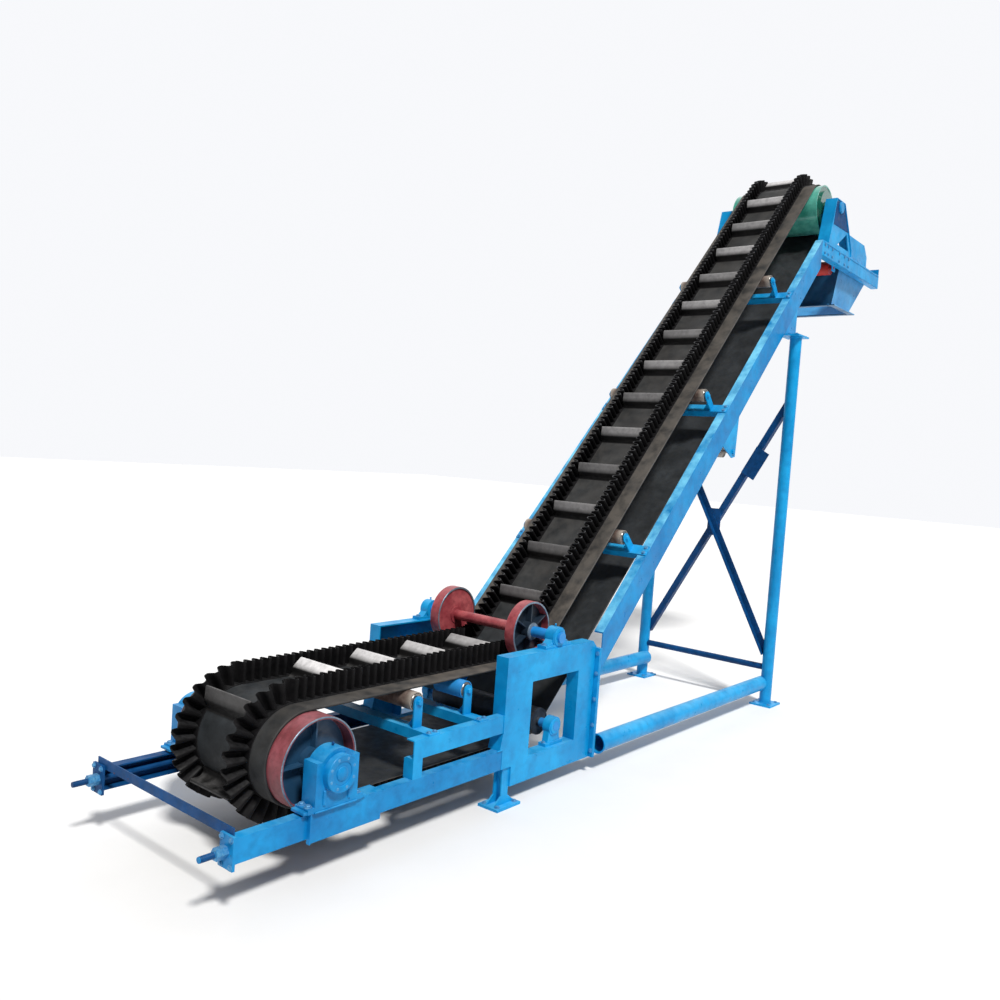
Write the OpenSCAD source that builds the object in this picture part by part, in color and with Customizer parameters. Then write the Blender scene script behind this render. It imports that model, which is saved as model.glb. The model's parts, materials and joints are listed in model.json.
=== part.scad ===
// Corrugated-sidewall belt conveyor: a level loading run, a bend under
// press wheels, and a steep run up to a drive drum and discharge hopper.
// Millimetres, +Z up, the belt runs along +X, the near side is -Y.
// Inside the modules X is measured from the tail drum's axis.

/* [Belt] */
// width of the rubber band
belt_width = 650; // [600:10:680]
// thickness of the rubber band
band_t = 12; // [8:1:14]
// height of the corrugated sidewalls
wall_height = 100; // [80:5:120]
// distance of each sidewall's middle from the belt's centre line
wall_y = 190; // [160:5:200]
// width of the sidewall's wave, crest to crest across the belt
wave_width = 50; // [40:2:60]
// length of one wave along the belt
wave_pitch = 112; // [106:1:140]
// distance between cleats
cleat_pitch = 360; // [300:10:420]
// height of the cleats above the band
cleat_height = 85; // [60:5:95]

/* [Path] */
// diameter of the tail and head drums
drum_d = 400; // [360:10:420]
// height of the tail drum's axis over the floor
tail_z = 458; // [450:2:480]
// place where level and steep belt lines meet, from the tail axis
bend_x = 1633; // [1600:5:1680]
// angle of the steep belt run
incline_angle = 46; // [44:0.5:47]
// length of the steep run from the bend to the head
incline_length = 4942; // [4400:50:5200]
// diameter of the press wheels over the belt's free edges
press_d = 330; // [300:10:340]
// diameter of the bend drum in the return strand
bend_drum_d = 150; // [140:2:160]
// place of the bend drum, from the tail axis
bend_drum_x = 1600; // [1580:5:1620]

/* [Frame] */
// distance from the centre plane to the outer face of the beams
beam_y = 510; // [500:2:520]
// height of the lower beams' underside
beam_z = 205; // [200:1:215]
// depth of the channels of the lower beams
beam_h = 100; // [90:2:104]
// width of the channel flanges
flange_w = 50; // [44:2:54]
// thickness of the channel webs and flanges
steel_t = 6; // [5:0.5:8]
// tail end of the lower beams, from the tail axis
beam_tail_x = -475; // [-500:5:-450]
// top of the upper rails that carry the level idlers
rail_z = 485; // [470:5:490]
// depth of the upper rails
rail_h = 90; // [80:5:95]
// first end of the upper rails
rail_x = 465; // [450:5:480]
// angle of the steep side rails
side_rail_angle = 45.3; // [44.8:0.1:45.8]
// depth of the steep side rails
side_rail_h = 160; // [140:5:165]
// height of the side rails' top edge at the foot post
side_rail_z = 757; // [740:1:770]

/* [Bend frame] */
// start of the bend frame, from the tail axis
bend_frame_x = 1110; // [1100:2:1120]
// length of the bend frame
bend_frame_l = 815; // [800:5:830]
// top of the bend frame
bend_frame_top = 780; // [778:1:784]
// underside of the bend frame
bend_frame_low = 100; // [90:5:110]

/* [Legs] */
// place of the tall legs, from the tail axis
leg_x = 4370; // [4300:10:4420]
// distance of the tall legs from the centre plane
leg_y = 555; // [545:5:565]
// diameter of the leg pipes
leg_d = 89; // [76:1:100]
// diameter of the floor tubes
floor_tube_d = 108; // [89:1:114]

/* [Discharge] */
// far end of the side arms past the head drum's axis
arm_reach = 1140; // [1100:20:1160]
// depth of the side arms
arm_h = 120; // [110:5:130]
// length of the hopper's mouth along the belt
hopper_l = 700; // [660:10:720]
// height of the hopper
hopper_h = 330; // [310:10:350]

/* [Colours] */
// colour of the painted frame
blue = "#1E8FD6";
// colour of the press wheels and tail drum
red = "#7A2A26";
// colour of the drive drum
green = "#1F7A5C";
// colour of the rubber
black = "#222222";
// colour of the bare rollers
rust = "#6E5142";

/* [Hidden] */
$fn = 48;

// Derived sizes.
run_gap = 0.3;                    // belt to drum, so that faces do not touch
weld = 0.3;                       // how deep the parts of one welded piece join
cope = 0.3;                       // gap round a pipe that another is cut to fit
bed = 0.2;                        // gap under pieces that rest on sloping faces
drum_r = drum_d / 2;
press_r = press_d / 2;
bend_drum_r = bend_drum_d / 2;
belt_y = belt_width / 2;
fit = 0.05;                       // radial play of shafts in bearings

belt_r = drum_r + run_gap;        // inner face of the band on the drums
level_z = tail_z + belt_r;        // underside of the level carrying run
return_z = tail_z - belt_r;       // inner face of the level return run
turn_r = press_r + run_gap + band_t;
press_x = bend_x - turn_r * tan(incline_angle / 2);
press_z = level_z + turn_r;
bend_r = bend_drum_r + run_gap;
bend_drum_z = return_z + bend_r;
head_x = bend_x + incline_length * cos(incline_angle) + belt_r * sin(incline_angle);
head_z = level_z + incline_length * sin(incline_angle) - belt_r * cos(incline_angle);
head_dist = norm([head_x - bend_drum_x, head_z - bend_drum_z]);
return_angle = atan2(head_z - bend_drum_z, head_x - bend_drum_x)
    - asin((belt_r - bend_r) / head_dist);

rod_end_x = beam_tail_x - 125;
arm_end_x = head_x + arm_reach;
mid_x = (rod_end_x + arm_end_x) / 2;

drum_half = 375;                  // half the shell length of the drive drum
tail_drum_half = 378;
tail_drum_y = -37;                // the tail drum sits off the belt's centre line
idler_r = 44.5;
idler_half = 375;
post_w = 60;
side_flange = flange_w + 10;      // of the side rails and side arms
bend_frame_end = bend_frame_x + bend_frame_l;
foot_post_x = bend_frame_end;
foot_post_w = 60;
foot_plate = [190, 130, 14];
leg_foot = [200, 170, 14];
bolt_hole_r = 9;

// line of the side rails' top edge
rail_dir = [cos(side_rail_angle), sin(side_rail_angle)];
rail_anchor_x = bend_x + 292;     // where the rails' top edge is side_rail_z high
function rail_top_at(x) = side_rail_z
    + (x - rail_anchor_x) * tan(side_rail_angle);
function rail_low_at(x) = rail_top_at(x) - side_rail_h / cos(side_rail_angle);
rail_end_x = head_x - 340;

// places of the idlers: level ones by X, steep ones by length from the bend
level_idler_x = [600, 955];
steep_idler_s = [1000, 2345, 3690];

// Small helpers.
function on_steep(s, n) = [
    bend_x + s * cos(incline_angle) - n * sin(incline_angle),
    level_z + s * sin(incline_angle) + n * cos(incline_angle)];

// moves from the tail axis to the part's own origin
module place() { translate([-mid_x, 0, 0]) children(); }

// the child is built on the near side; far = its mirror image
module far() { mirror([0, 1, 0]) children(); }

// round bar or hole along Y
module bar_y(x, z, r, y0, y1) {
    translate([x, y0, z]) rotate([-90, 0, 0]) cylinder(h = y1 - y0, r = r);
}

// round tube along Y
module tube_y(x, z, r, wall, y0, y1) {
    difference() {
        bar_y(x, z, r, y0, y1);
        bar_y(x, z, r - wall, y0 - 1, y1 + 1);
    }
}

// hollow drum or roller closed by two discs on a through shaft
module drum(x, z, r, wall, half, pin, pin_half) {
    tube_y(x, z, r, wall, -half, half);
    for (s = [-1, 1]) tube_y(x, z, r - wall + 0.5, r - wall + 1 - pin,
        s > 0 ? half - 14 : -half + 4, s > 0 ? half - 4 : -half + 14);
    bar_y(x, z, pin, -pin_half, pin_half);
}

// box given by its two corners
module box(a, b) { translate(a) cube(b - a); }

// plate of a side outline, from y0 to y1
module side_plate(outline, y0, y1) {
    translate([0, y1, 0]) rotate([90, 0, 0])
        linear_extrude(height = y1 - y0) polygon(outline);
}

// channel along X: web on the near side, flanges pointing inwards
module channel_x(length, height, flange) {
    difference() {
        cube([length, flange, height]);
        translate([-1, steel_t, steel_t])
            cube([length + 2, flange, height - 2 * steel_t]);
    }
}

// Belt.
// the loop is a chain of straight runs and arcs; each run is
// [start, angle, length], each arc [centre, radius, from, to, side]
// side is 1 where the drum is inside the loop and -1 at the press wheels
lower_run = [[0, return_z], 0, bend_drum_x];
return_start = [bend_drum_x + bend_r * sin(return_angle),
    bend_drum_z - bend_r * cos(return_angle)];
return_len = sqrt(pow(head_dist, 2) - pow(belt_r - bend_r, 2));
return_run = [return_start, return_angle, return_len];
steep_len = incline_length - turn_r * tan(incline_angle / 2);
steep_end = on_steep(incline_length, 0);
steep_run = [steep_end, incline_angle + 180, steep_len];
level_run = [[press_x, level_z], 180, press_x];

// points of one arc about a drum, "over" further out than the inner face
arc_step = 5;                     // degrees between the band's edges
function arc(c, r, a0, a1) =
    let (count = ceil(abs(a1 - a0) / arc_step))
    [for (k = [0 : count]) let (a = a0 + (a1 - a0) * k / count)
        [c[0] + r * cos(a), c[1] + r * sin(a)]];
function loop_line(over) = concat(
    arc([0, tail_z], belt_r + over, 90, 270),
    arc([bend_drum_x, bend_drum_z], bend_r + over, 270, 270 + return_angle),
    arc([head_x, head_z], belt_r + over, return_angle - 90, incline_angle + 90),
    arc([press_x, press_z], turn_r - over, 270 + incline_angle, 270));

module belt_band() {
    color(black) place() translate([0, belt_y, 0]) rotate([90, 0, 0])
        linear_extrude(height = belt_width) difference() {
            polygon(loop_line(band_t));
            polygon(loop_line(0));
        }
}

// point on an arc or run with its outward direction: [x, z, nx, nz]
function run_point(run, s) = [
    run[0][0] + s * cos(run[1]) + band_t * sin(run[1]),
    run[0][1] + s * sin(run[1]) - band_t * cos(run[1]),
    sin(run[1]), -cos(run[1])];
function arc_point(c, r, a, side) = [
    c[0] + r * cos(a), c[1] + r * sin(a), side * cos(a), side * sin(a)];
function run_rings(run, s0, s1) =
    let (count = 2 * round((s1 - s0) / wave_pitch))
    [for (k = [0 : count]) run_point(run, s0 + (s1 - s0) * k / count)];
// the rings of an outer bend stand out a little, so that the straight
// pieces between them stay clear of the band
function arc_rings(c, r, a0, a1, side) =
    let (count = 2 * round(abs(a1 - a0) * PI / 180 * r / wave_pitch),
        half_step = abs(a1 - a0) / count / 2,
        out = side > 0 ? r / cos(half_step) : r)
    [for (k = [0 : count]) arc_point(c, out, a0 + (a1 - a0) * k / count, side)];

wall_t = 7;                       // thickness of the sidewall rubber

// sidewall over a list of rings: a flat zigzag sheet, closed at both ends
module wall(rings, y) {
    count = len(rings);
    amp = (wave_width - wall_t) / 2;
    points = [for (k = [0 : count - 1])
        let (p = rings[k], wave = k % 2 == 0 ? amp : -amp)
        for (corner = [[-1, bed], [1, bed], [1, wall_height], [-1, wall_height]])
            [p[0] + p[2] * corner[1], y + wave + corner[0] * wall_t / 2,
                p[1] + p[3] * corner[1]]];
    quads = [for (k = [0 : count - 2]) for (j = [0 : 3])
        let (a = 4 * k + j, b = 4 * k + (j + 1) % 4)
        [a, b, b + 4, a + 4]];
    triangles = [for (q = quads) for (h = [[0, 1, 2], [0, 2, 3]])
        [q[h[0]], q[h[1]], q[h[2]]]];
    last = 4 * (count - 1);
    caps = [[0, 3, 2], [0, 2, 1],
        [last, last + 1, last + 2], [last, last + 2, last + 3]];
    polyhedron(points = points, faces = concat(triangles, caps), convexity = 4);
}

splice = 3;                       // gap between the lengths of sidewall

module both_walls(rings) {
    wall(rings, wall_y);
    wall(rings, -wall_y);
}

module belt_wall_upper() {
    turn_top = turn_r - band_t;
    color(black) place() {
        both_walls(run_rings(level_run, splice, press_x - splice));
        both_walls(arc_rings([press_x, press_z], turn_top,
            270 + incline_angle - 1, 270 + 1, -1));
        both_walls(run_rings(steep_run, splice, steep_len - splice));
    }
}

module belt_wall_lower() {
    top_r = belt_r + band_t;
    low_r = bend_r + band_t;
    head_from = return_angle - 89;
    head_mid = (head_from + incline_angle + 89) / 2;
    color(black) place() {
        both_walls(run_rings(lower_run, splice, bend_drum_x - splice));
        both_walls(arc_rings([bend_drum_x, bend_drum_z], low_r,
            272, 268 + return_angle, 1));
        both_walls(run_rings(return_run, splice, return_len - splice));
        both_walls(arc_rings([head_x, head_z], top_r,
            head_from, head_mid - 1, 1));
        both_walls(arc_rings([head_x, head_z], top_r,
            head_mid + 1, incline_angle + 89, 1));
        both_walls(arc_rings([0, tail_z], top_r, 91, 179, 1));
        both_walls(arc_rings([0, tail_z], top_r, 181, 269, 1));
    }
}

cleat_foot = 68;
cleat_stem = 24;                  // thickness where the blade bends forward
cleat_knee = 39;                  // height of that bend
cleat_reach = 41;                 // how far the tip leans forward
cleat_tip = 14;                   // thickness of the tip
cleat_half = wall_y - wave_width / 2 - 2;

function cleat_corner(p, dir, along, up) =
    [p[0] + dir[0] * along + p[2] * up, p[1] + dir[1] * along + p[3] * up];

// one cleat on a path point: a tapered stem and a blade that bends
// forward, the way the carrying run moves, to scoop the goods
module cleat(p, dir) {
    side_plate([for (corner = [
            [-cleat_foot / 2, bed], [cleat_foot / 2, bed],
            [cleat_stem / 2, cleat_knee + 1],
            [cleat_reach + cleat_tip / 3, cleat_height - cleat_tip * 0.7],
            [cleat_reach - cleat_tip / 3, cleat_height],
            [-cleat_stem / 2, cleat_knee - 1]])
        cleat_corner(p, dir, corner[0], corner[1])], -cleat_half, cleat_half);
}

module cleats_on_run(run, first) {
    for (s = [first : cleat_pitch : run[2] - cleat_foot])
        cleat(run_point(run, s), [-cos(run[1]), -sin(run[1])]);
}

module cleats_on_arc(c, r, angles) {
    for (a = angles)
        cleat(arc_point(c, r, a, 1), [sin(a), -cos(a)]);
}

module belt_cleats() {
    color(black) place() {
        cleats_on_run(level_run, 180);
        cleats_on_run(steep_run, 260);
        cleats_on_run(lower_run, 200);
        cleats_on_run(return_run, 200);
        cleats_on_arc([0, tail_z], belt_r + band_t, [135, 225]);
        cleats_on_arc([head_x, head_z], belt_r + band_t, [95, 0]);
    }
}

// Tail.
module lower_beam() {
    place() translate([beam_tail_x, -beam_y, beam_z])
        channel_x(bend_frame_x - beam_tail_x, beam_h, flange_w);
}
module lower_beam_near() { color(blue) lower_beam(); }
module lower_beam_far() { color(blue) far() lower_beam(); }

beam_top = beam_z + beam_h;

// bar on edge across the tail ends of the beams
module tail_cross_bar() {
    color(blue) place()
        box([beam_tail_x, -beam_y, beam_top],
            [beam_tail_x + steel_t, beam_y, beam_top + 42]);
}

screw_r = 12;
screw_y = -beam_y + 28;
screw_z = beam_z + beam_h / 2;
saddle_x = -121;
saddle_l = 390;
saddle_low = 185;
saddle_t = 8;
lug_at = 38;                      // from the saddle's end to its lug

// end plate, nuts and screw that pull the tail bearing back
module take_up() {
    place() {
        difference() {
            box([beam_tail_x - 12, -beam_y - 20, beam_z - 15],
                [beam_tail_x, -beam_y + flange_w + 15, beam_top + 15]);
            bar_x(beam_tail_x - 13, beam_tail_x + 1, screw_r + 1);
        }
        bar_x(rod_end_x, saddle_x + lug_at, screw_r);
        bar_x(beam_tail_x - 34, beam_tail_x - 12 + weld, 21);
        bar_x(beam_tail_x - 60, beam_tail_x - 36, 21);
    }
}

// round bar along X on the take-up screw's line
module bar_x(x0, x1, r) {
    translate([x0, screw_y, screw_z]) rotate([0, 90, 0])
        cylinder(h = x1 - x0, r = r);
}
module take_up_near() { color(blue) take_up(); }
module take_up_far() { color(blue) far() take_up(); }

// folded saddle that slides on the beam and carries the tail bearing
module tail_saddle() {
    out = -beam_y - run_gap;
    place() {
        difference() {
            box([saddle_x, out - saddle_t, saddle_low],
                [saddle_x + saddle_l, -beam_y + flange_w + 20, beam_top + saddle_t]);
            box([saddle_x - 1, out, saddle_low - 1],
                [saddle_x + saddle_l + 1, -beam_y + flange_w + 21, beam_top]);
        }
        // lug inside the beam that takes the end of the screw
        box([saddle_x + lug_at, -beam_y + steel_t + 6, beam_z + steel_t + 10],
            [saddle_x + lug_at + 20, -beam_y + flange_w + 12, beam_top - steel_t - 10]);
        box([saddle_x + lug_at, -beam_y + flange_w + 6, beam_z + steel_t + 10],
            [saddle_x + lug_at + 20, -beam_y + flange_w + 12, beam_top + 1]);
    }
}
module tail_saddle_near() { color(blue) tail_saddle(); }
module tail_saddle_far() { color(blue) far() tail_saddle(); }

shaft_r = 35;
tail_seat_z = beam_top + saddle_t;
bearing_in = -beam_y + 62;
bearing_out = -beam_y - 22;

// block bearing on the saddle, with a foot flange and a round end cap
module tail_bearing() {
    half = 112;
    foot_half = half + 34;
    foot_t = 22;
    shoulder = tail_z + 56;
    place() difference() {
        union() {
            box([-half, bearing_out, tail_seat_z], [half, bearing_in, shoulder]);
            bar_y(0, tail_z, 100, bearing_out, bearing_in);
            box([-foot_half, bearing_out, tail_seat_z],
                [foot_half, bearing_in, tail_seat_z + foot_t]);
            bar_y(0, tail_z, 80, bearing_out - 26, bearing_out + 1);
        }
        bar_y(0, tail_z, shaft_r + fit, bearing_out - 12, bearing_in + 1);
    }
}
module tail_bearing_near() { color(blue) tail_bearing(); }
module tail_bearing_far() { color(blue) far() tail_bearing(); }

// drum with recessed ribbed end discs on its shaft
module ribbed_drum(x, z, r, half, rib_count, recess) {
    disc = half - recess;
    tube_y(x, z, r, 12, -half, half);
    for (s = [-1, 1]) {
        tube_y(x, z, r - 11, r - 11 - shaft_r + 1, s * disc - 6, s * disc + 6);
        tube_y(x, z, 62, 62 - shaft_r + 1,
            s > 0 ? disc - 5 : -disc - 45, s > 0 ? disc + 45 : -disc + 5);
        for (a = [0 : 360 / rib_count : 359])
            translate([x, s * disc, z]) rotate([0, a, 0])
                translate([55, s > 0 ? 5 : -40, -4]) cube([r - 11 - 55, 35, 8]);
    }
}

module tail_drum() {
    color(red) place() {
        translate([0, tail_drum_y, 0])
            ribbed_drum(0, tail_z, drum_r, tail_drum_half, 4, 70);
        bar_y(0, tail_z, shaft_r, bearing_out - 10, -bearing_out + 10);
    }
}

// Level run.
module upper_rail() {
    place() {
        translate([rail_x, -beam_y, rail_z - rail_h])
            channel_x(bend_frame_x - rail_x, rail_h, flange_w);
        difference() {
            box([rail_x, -beam_y, beam_top],
                [rail_x + post_w, -beam_y + post_w, rail_z - rail_h + weld]);
            box([rail_x + steel_t, -beam_y + steel_t, beam_top - 1],
                [rail_x + post_w - steel_t, -beam_y + post_w - steel_t,
                    rail_z - rail_h + 1]);
        }
    }
}
module upper_rail_near() { color(blue) upper_rail(); }
module upper_rail_far() { color(blue) far() upper_rail(); }

stand_in = idler_half + 9;
stand_w = 56;
pin_r = 12;

// one upright of an idler frame with its gusset, in the frame's own plane:
// the foot is at height zero and the pin at height "rise"
module idler_stand(rise) {
    difference() {
        union() {
            translate([-stand_w / 2, -stand_in - 8, 0])
                cube([stand_w, 8, rise - 0.1]);
            bar_y(0, rise - 0.1, stand_w / 2, -stand_in - 8, -stand_in);
            translate([-4, -stand_in - 7, 0]) rotate([90, 0, 0])
                rotate([0, 90, 0]) linear_extrude(height = 8)
                    polygon([[0, 0], [58, 0], [0, rise * 0.7]]);
        }
        bar_y(0, rise, pin_r + fit, -stand_in - 9, -stand_in + 1);
    }
}

// cross member resting on both rails, with an upright at each end; its
// channel hangs between the rails' flanges
module idler_frame(rise, flange) {
    sheet = 8;
    gap = 4;
    inner = beam_y - flange - gap;
    translate([-35, -beam_y + gap, 0]) cube([70, 2 * (beam_y - gap), sheet]);
    translate([-35, -inner, -40]) difference() {
        cube([70, 2 * inner, 40 + weld]);
        translate([6, -1, -1]) cube([58, 2 * inner + 2, 40]);
    }
    translate([0, 0, sheet - weld]) {
        idler_stand(rise - sheet + weld);
        far() idler_stand(rise - sheet + weld);
    }
}

level_idler_z = level_z - idler_r - run_gap;

module level_idler_frames() {
    color(blue) place() for (x = level_idler_x)
        translate([x, 0, rail_z]) idler_frame(level_idler_z - rail_z, flange_w);
}

module idler(x, z) {
    place() drum(x, z, idler_r, 4, idler_half, pin_r, stand_in + 12);
}
module level_idler_1() { color(rust) idler(level_idler_x[0], level_idler_z); }
module level_idler_2() { color(rust) idler(level_idler_x[1], level_idler_z); }

// Bend.
plate_t = 8;
frame_y = beam_y - 6;
frame_w = 70;
frame_step = 82;                  // from the frame's left side to its low part
window = [1330, 230, 1756, 627];

// deep side frame with a window and an inward flange all round
module bend_frame() {
    outline = [[bend_frame_x, bend_frame_top], [bend_frame_x, rail_z - rail_h],
        [bend_frame_x - 45, beam_z], [bend_frame_x + frame_step, beam_z],
        [bend_frame_x + frame_step, bend_frame_low],
        [bend_frame_end, bend_frame_low], [bend_frame_end, bend_frame_top - 40],
        [bend_frame_end - 40, bend_frame_top]];
    place() {
        difference() {
            side_plate(outline, -frame_y - plate_t, -frame_y + frame_w);
            // hollow back of the plate
            side_plate([
                [bend_frame_x + plate_t, bend_frame_top - plate_t],
                [bend_frame_x + plate_t, beam_z + plate_t],
                [bend_frame_x + frame_step + plate_t, beam_z + plate_t],
                [bend_frame_x + frame_step + plate_t, bend_frame_low + plate_t],
                [bend_frame_end - plate_t, bend_frame_low + plate_t],
                [bend_frame_end - plate_t, bend_frame_top - plate_t]],
                -frame_y, -frame_y + frame_w + 1);
            box([window[0], -frame_y - plate_t - 1, window[1]],
                [window[2], -frame_y + 1, window[3]]);
            // the lower beam passes into the foot of the plate
            box([bend_frame_x - 60, -beam_y - 10, beam_z - 1],
                [bend_frame_x + 0.01, -beam_y + 90, beam_top + 1]);
        }
        // rim of the window
        difference() {
            box([window[0] - plate_t, -frame_y - 1, window[1] - plate_t],
                [window[2] + plate_t, -frame_y + frame_w, window[3] + plate_t]);
            box([window[0], -frame_y - 2, window[1]],
                [window[2], -frame_y + frame_w + 1, window[3]]);
        }
    }
}
module bend_frame_near() { color(blue) bend_frame(); }
module bend_frame_far() { color(blue) far() bend_frame(); }

foot_x = bend_frame_x + 54;

// base plate, two flared uprights and the web between them
module front_foot() {
    fy = -frame_y + 30;
    waist = 27;
    flare = 82;
    flare_top = 58;
    sheet = 8;
    place() {
        difference() {
            box([foot_x - foot_plate[0] / 2, fy - foot_plate[1] / 2, 0],
                [foot_x + foot_plate[0] / 2, fy + foot_plate[1] / 2, foot_plate[2]]);
            for (dx = [-70, 70]) for (dy = [-42, 42])
                translate([foot_x + dx, fy + dy, -1])
                    cylinder(h = foot_plate[2] + 2, r = bolt_hole_r);
        }
        for (y = [fy - 28, fy + 20]) side_plate([
            [foot_x - waist, beam_z], [foot_x + waist, beam_z],
            [foot_x + waist, flare_top], [foot_x + flare, foot_plate[2] - weld],
            [foot_x - flare, foot_plate[2] - weld], [foot_x - waist, flare_top]],
            y, y + sheet);
        box([foot_x - sheet / 2, fy - 28 + sheet - weld, foot_plate[2] - weld],
            [foot_x + sheet / 2, fy + 20 + weld, beam_z]);
    }
}
module front_foot_near() { color(blue) front_foot(); }
module front_foot_far() { color(blue) far() front_foot(); }

// pillow block: foot, round housing and bore, standing at height z0
module pillow_block(x, z, z0, bore, half, y0, y1) {
    r = min(bore + 27, z - z0);
    difference() {
        union() {
            box([x - half, y0, z0], [x + half, y1, z0 + 18]);
            bar_y(x, z, r, y0, y1);
            side_plate([[x - half * 0.7, z0 + 17], [x + half * 0.7, z0 + 17],
                [x + r * 0.8, z], [x - r * 0.8, z]], y0 + 5, y1 - 5);
        }
        bar_y(x, z, bore + fit, y0 - 1, y1 + 1);
    }
}

press_shaft_r = 30;
press_block = [-frame_y + 4, -frame_y + 62];

module press_bearing() {
    place() pillow_block(press_x, press_z, bend_frame_top, press_shaft_r,
        118, press_block[0], press_block[1]);
}
module press_bearing_near() { color(blue) press_bearing(); }
module press_bearing_far() { color(blue) far() press_bearing(); }

wheel_y = [250, 310];

// one spoked press wheel on the shared shaft
module press_wheel() {
    tube_y(press_x, press_z, press_r, 12, -wheel_y[1], -wheel_y[0]);
    tube_y(press_x, press_z, press_r - 11, press_r - 11 - press_shaft_r + 1,
        -wheel_y[0] - 14, -wheel_y[0] - 4);
    tube_y(press_x, press_z, 50, 50 - press_shaft_r + 1,
        -wheel_y[1] - 8, -wheel_y[0]);
    for (a = [30 : 60 : 359])
        translate([press_x, 0, press_z]) rotate([0, a, 0])
            translate([45, -wheel_y[1] + 6, -4])
                cube([press_r - 11 - 45, wheel_y[1] - wheel_y[0] - 18, 8]);
}

module press_wheels() {
    color(red) place() {
        press_wheel();
        far() press_wheel();
        bar_y(press_x, press_z, press_shaft_r,
            press_block[0] - 22, -press_block[0] + 22);
    }
}

bend_shaft_r = 25;
bend_block = [-frame_y + frame_w - 52, -frame_y + frame_w - 4];

module bend_bearing() {
    place() pillow_block(bend_drum_x, bend_drum_z, window[1],
        bend_shaft_r, 80, bend_block[0], bend_block[1]);
}
module bend_bearing_near() { color(blue) bend_bearing(); }
module bend_bearing_far() { color(blue) far() bend_bearing(); }

module bend_drum() {
    color(rust) place() drum(bend_drum_x, bend_drum_z, bend_drum_r, 8,
        drum_half, bend_shaft_r, 8 - bend_block[0]);
}

// Steep run.
foot_post_end = foot_post_x + foot_post_w;

// hollow post, open towards the belt, bolted to the bend frame's end
module foot_post() {
    top = rail_top_at(foot_post_x) - 30;
    place() difference() {
        box([foot_post_x, -frame_y - plate_t, bend_frame_low],
            [foot_post_end, -frame_y + frame_w, top]);
        box([foot_post_x + plate_t, -frame_y, bend_frame_low + plate_t],
            [foot_post_end - plate_t, -frame_y + frame_w + 1, top - plate_t]);
    }
}
module foot_post_near() { color(blue) foot_post(); }
module foot_post_far() { color(blue) far() foot_post(); }

floor_tube_z = 165;
floor_tube_y = beam_y + 12;

// space of the two leg pipes, cut from what is welded on to them
module leg_space() {
    for (s = [-1, 1]) translate([leg_x, s * leg_y, 0])
        cylinder(h = leg_top, r = leg_d / 2 + cope);
}

module floor_tubes() {
    tube_l = leg_x - 12 - foot_post_end;
    color(blue) place() difference() {
        for (s = [-1, 1]) translate([foot_post_end, s * floor_tube_y, floor_tube_z])
            rotate([0, 90, 0]) difference() {
                cylinder(h = tube_l, r = floor_tube_d / 2);
                translate([0, 0, -1]) cylinder(h = tube_l + 2, r = floor_tube_d / 2 - 5);
            }
        leg_space();
    }
}

module side_rail() {
    length = (rail_end_x - rail_anchor_x + 400) / rail_dir[0];
    place() intersection() {
        translate([rail_anchor_x, -beam_y, side_rail_z])
            rotate([0, -side_rail_angle, 0])
                translate([-300, 0, -side_rail_h])
                    channel_x(length, side_rail_h, side_flange);
        box([foot_post_end, -beam_y - 1, bend_frame_low],
            [rail_end_x, 0, head_z]);
    }
}
module side_rail_near() { color(blue) side_rail(); }
module side_rail_far() { color(blue) far() side_rail(); }

function steep_idler(k) = on_steep(steep_idler_s[k], -idler_r - run_gap);
// where the idler's upright meets the side rail, square to the rail
function idler_foot(p) =
    let (rise = (p[1] - rail_top_at(p[0])) * cos(side_rail_angle))
    [p[0] + rise * sin(side_rail_angle), p[1] - rise * cos(side_rail_angle), rise];

module steep_idler_frames() {
    color(blue) place() for (k = [0 : len(steep_idler_s) - 1]) {
        foot = idler_foot(steep_idler(k));
        translate([foot[0], 0, foot[1]]) rotate([0, -side_rail_angle, 0])
            translate([0, 0, bed]) idler_frame(foot[2] - bed, side_flange);
    }
}
module steep_idler_1() { color(rust) idler(steep_idler(0)[0], steep_idler(0)[1]); }
module steep_idler_2() { color(rust) idler(steep_idler(1)[0], steep_idler(1)[1]); }
module steep_idler_3() { color(rust) idler(steep_idler(2)[0], steep_idler(2)[1]); }

// the return roller carries the sidewalls' tops of the steep return strand
return_s = 2525;
return_out = idler_r + band_t + wall_height + 1;
return_p = [return_start[0] + return_s * cos(return_angle) + return_out * sin(return_angle),
    return_start[1] + return_s * sin(return_angle) - return_out * cos(return_angle)];
hanger_y = [-beam_y + 22, -beam_y + 30];

// plate under the side rail that holds the return roller's pin
module return_hanger_one() {
    x0 = return_p[0] - 190;
    x1 = return_p[0] + 60;
    difference() {
        side_plate([[x0, rail_low_at(x0) - bed], [x1, rail_low_at(x1) - bed],
            [return_p[0] + 40, return_p[1] - 34],
            [return_p[0] - 10, return_p[1] - 44]], hanger_y[0], hanger_y[1]);
        bar_y(return_p[0], return_p[1], pin_r + fit, hanger_y[0] - 1, hanger_y[1] + 1);
    }
}

module return_hanger() {
    color(blue) place() {
        return_hanger_one();
        far() return_hanger_one();
    }
}

module return_roller() {
    color(rust) place() drum(return_p[0], return_p[1], idler_r, 4,
        idler_half + 40, pin_r, 6 - hanger_y[0]);
}

// Legs.
leg_top = rail_low_at(leg_x - 110) - 8;
leg_cap = 12;

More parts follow.
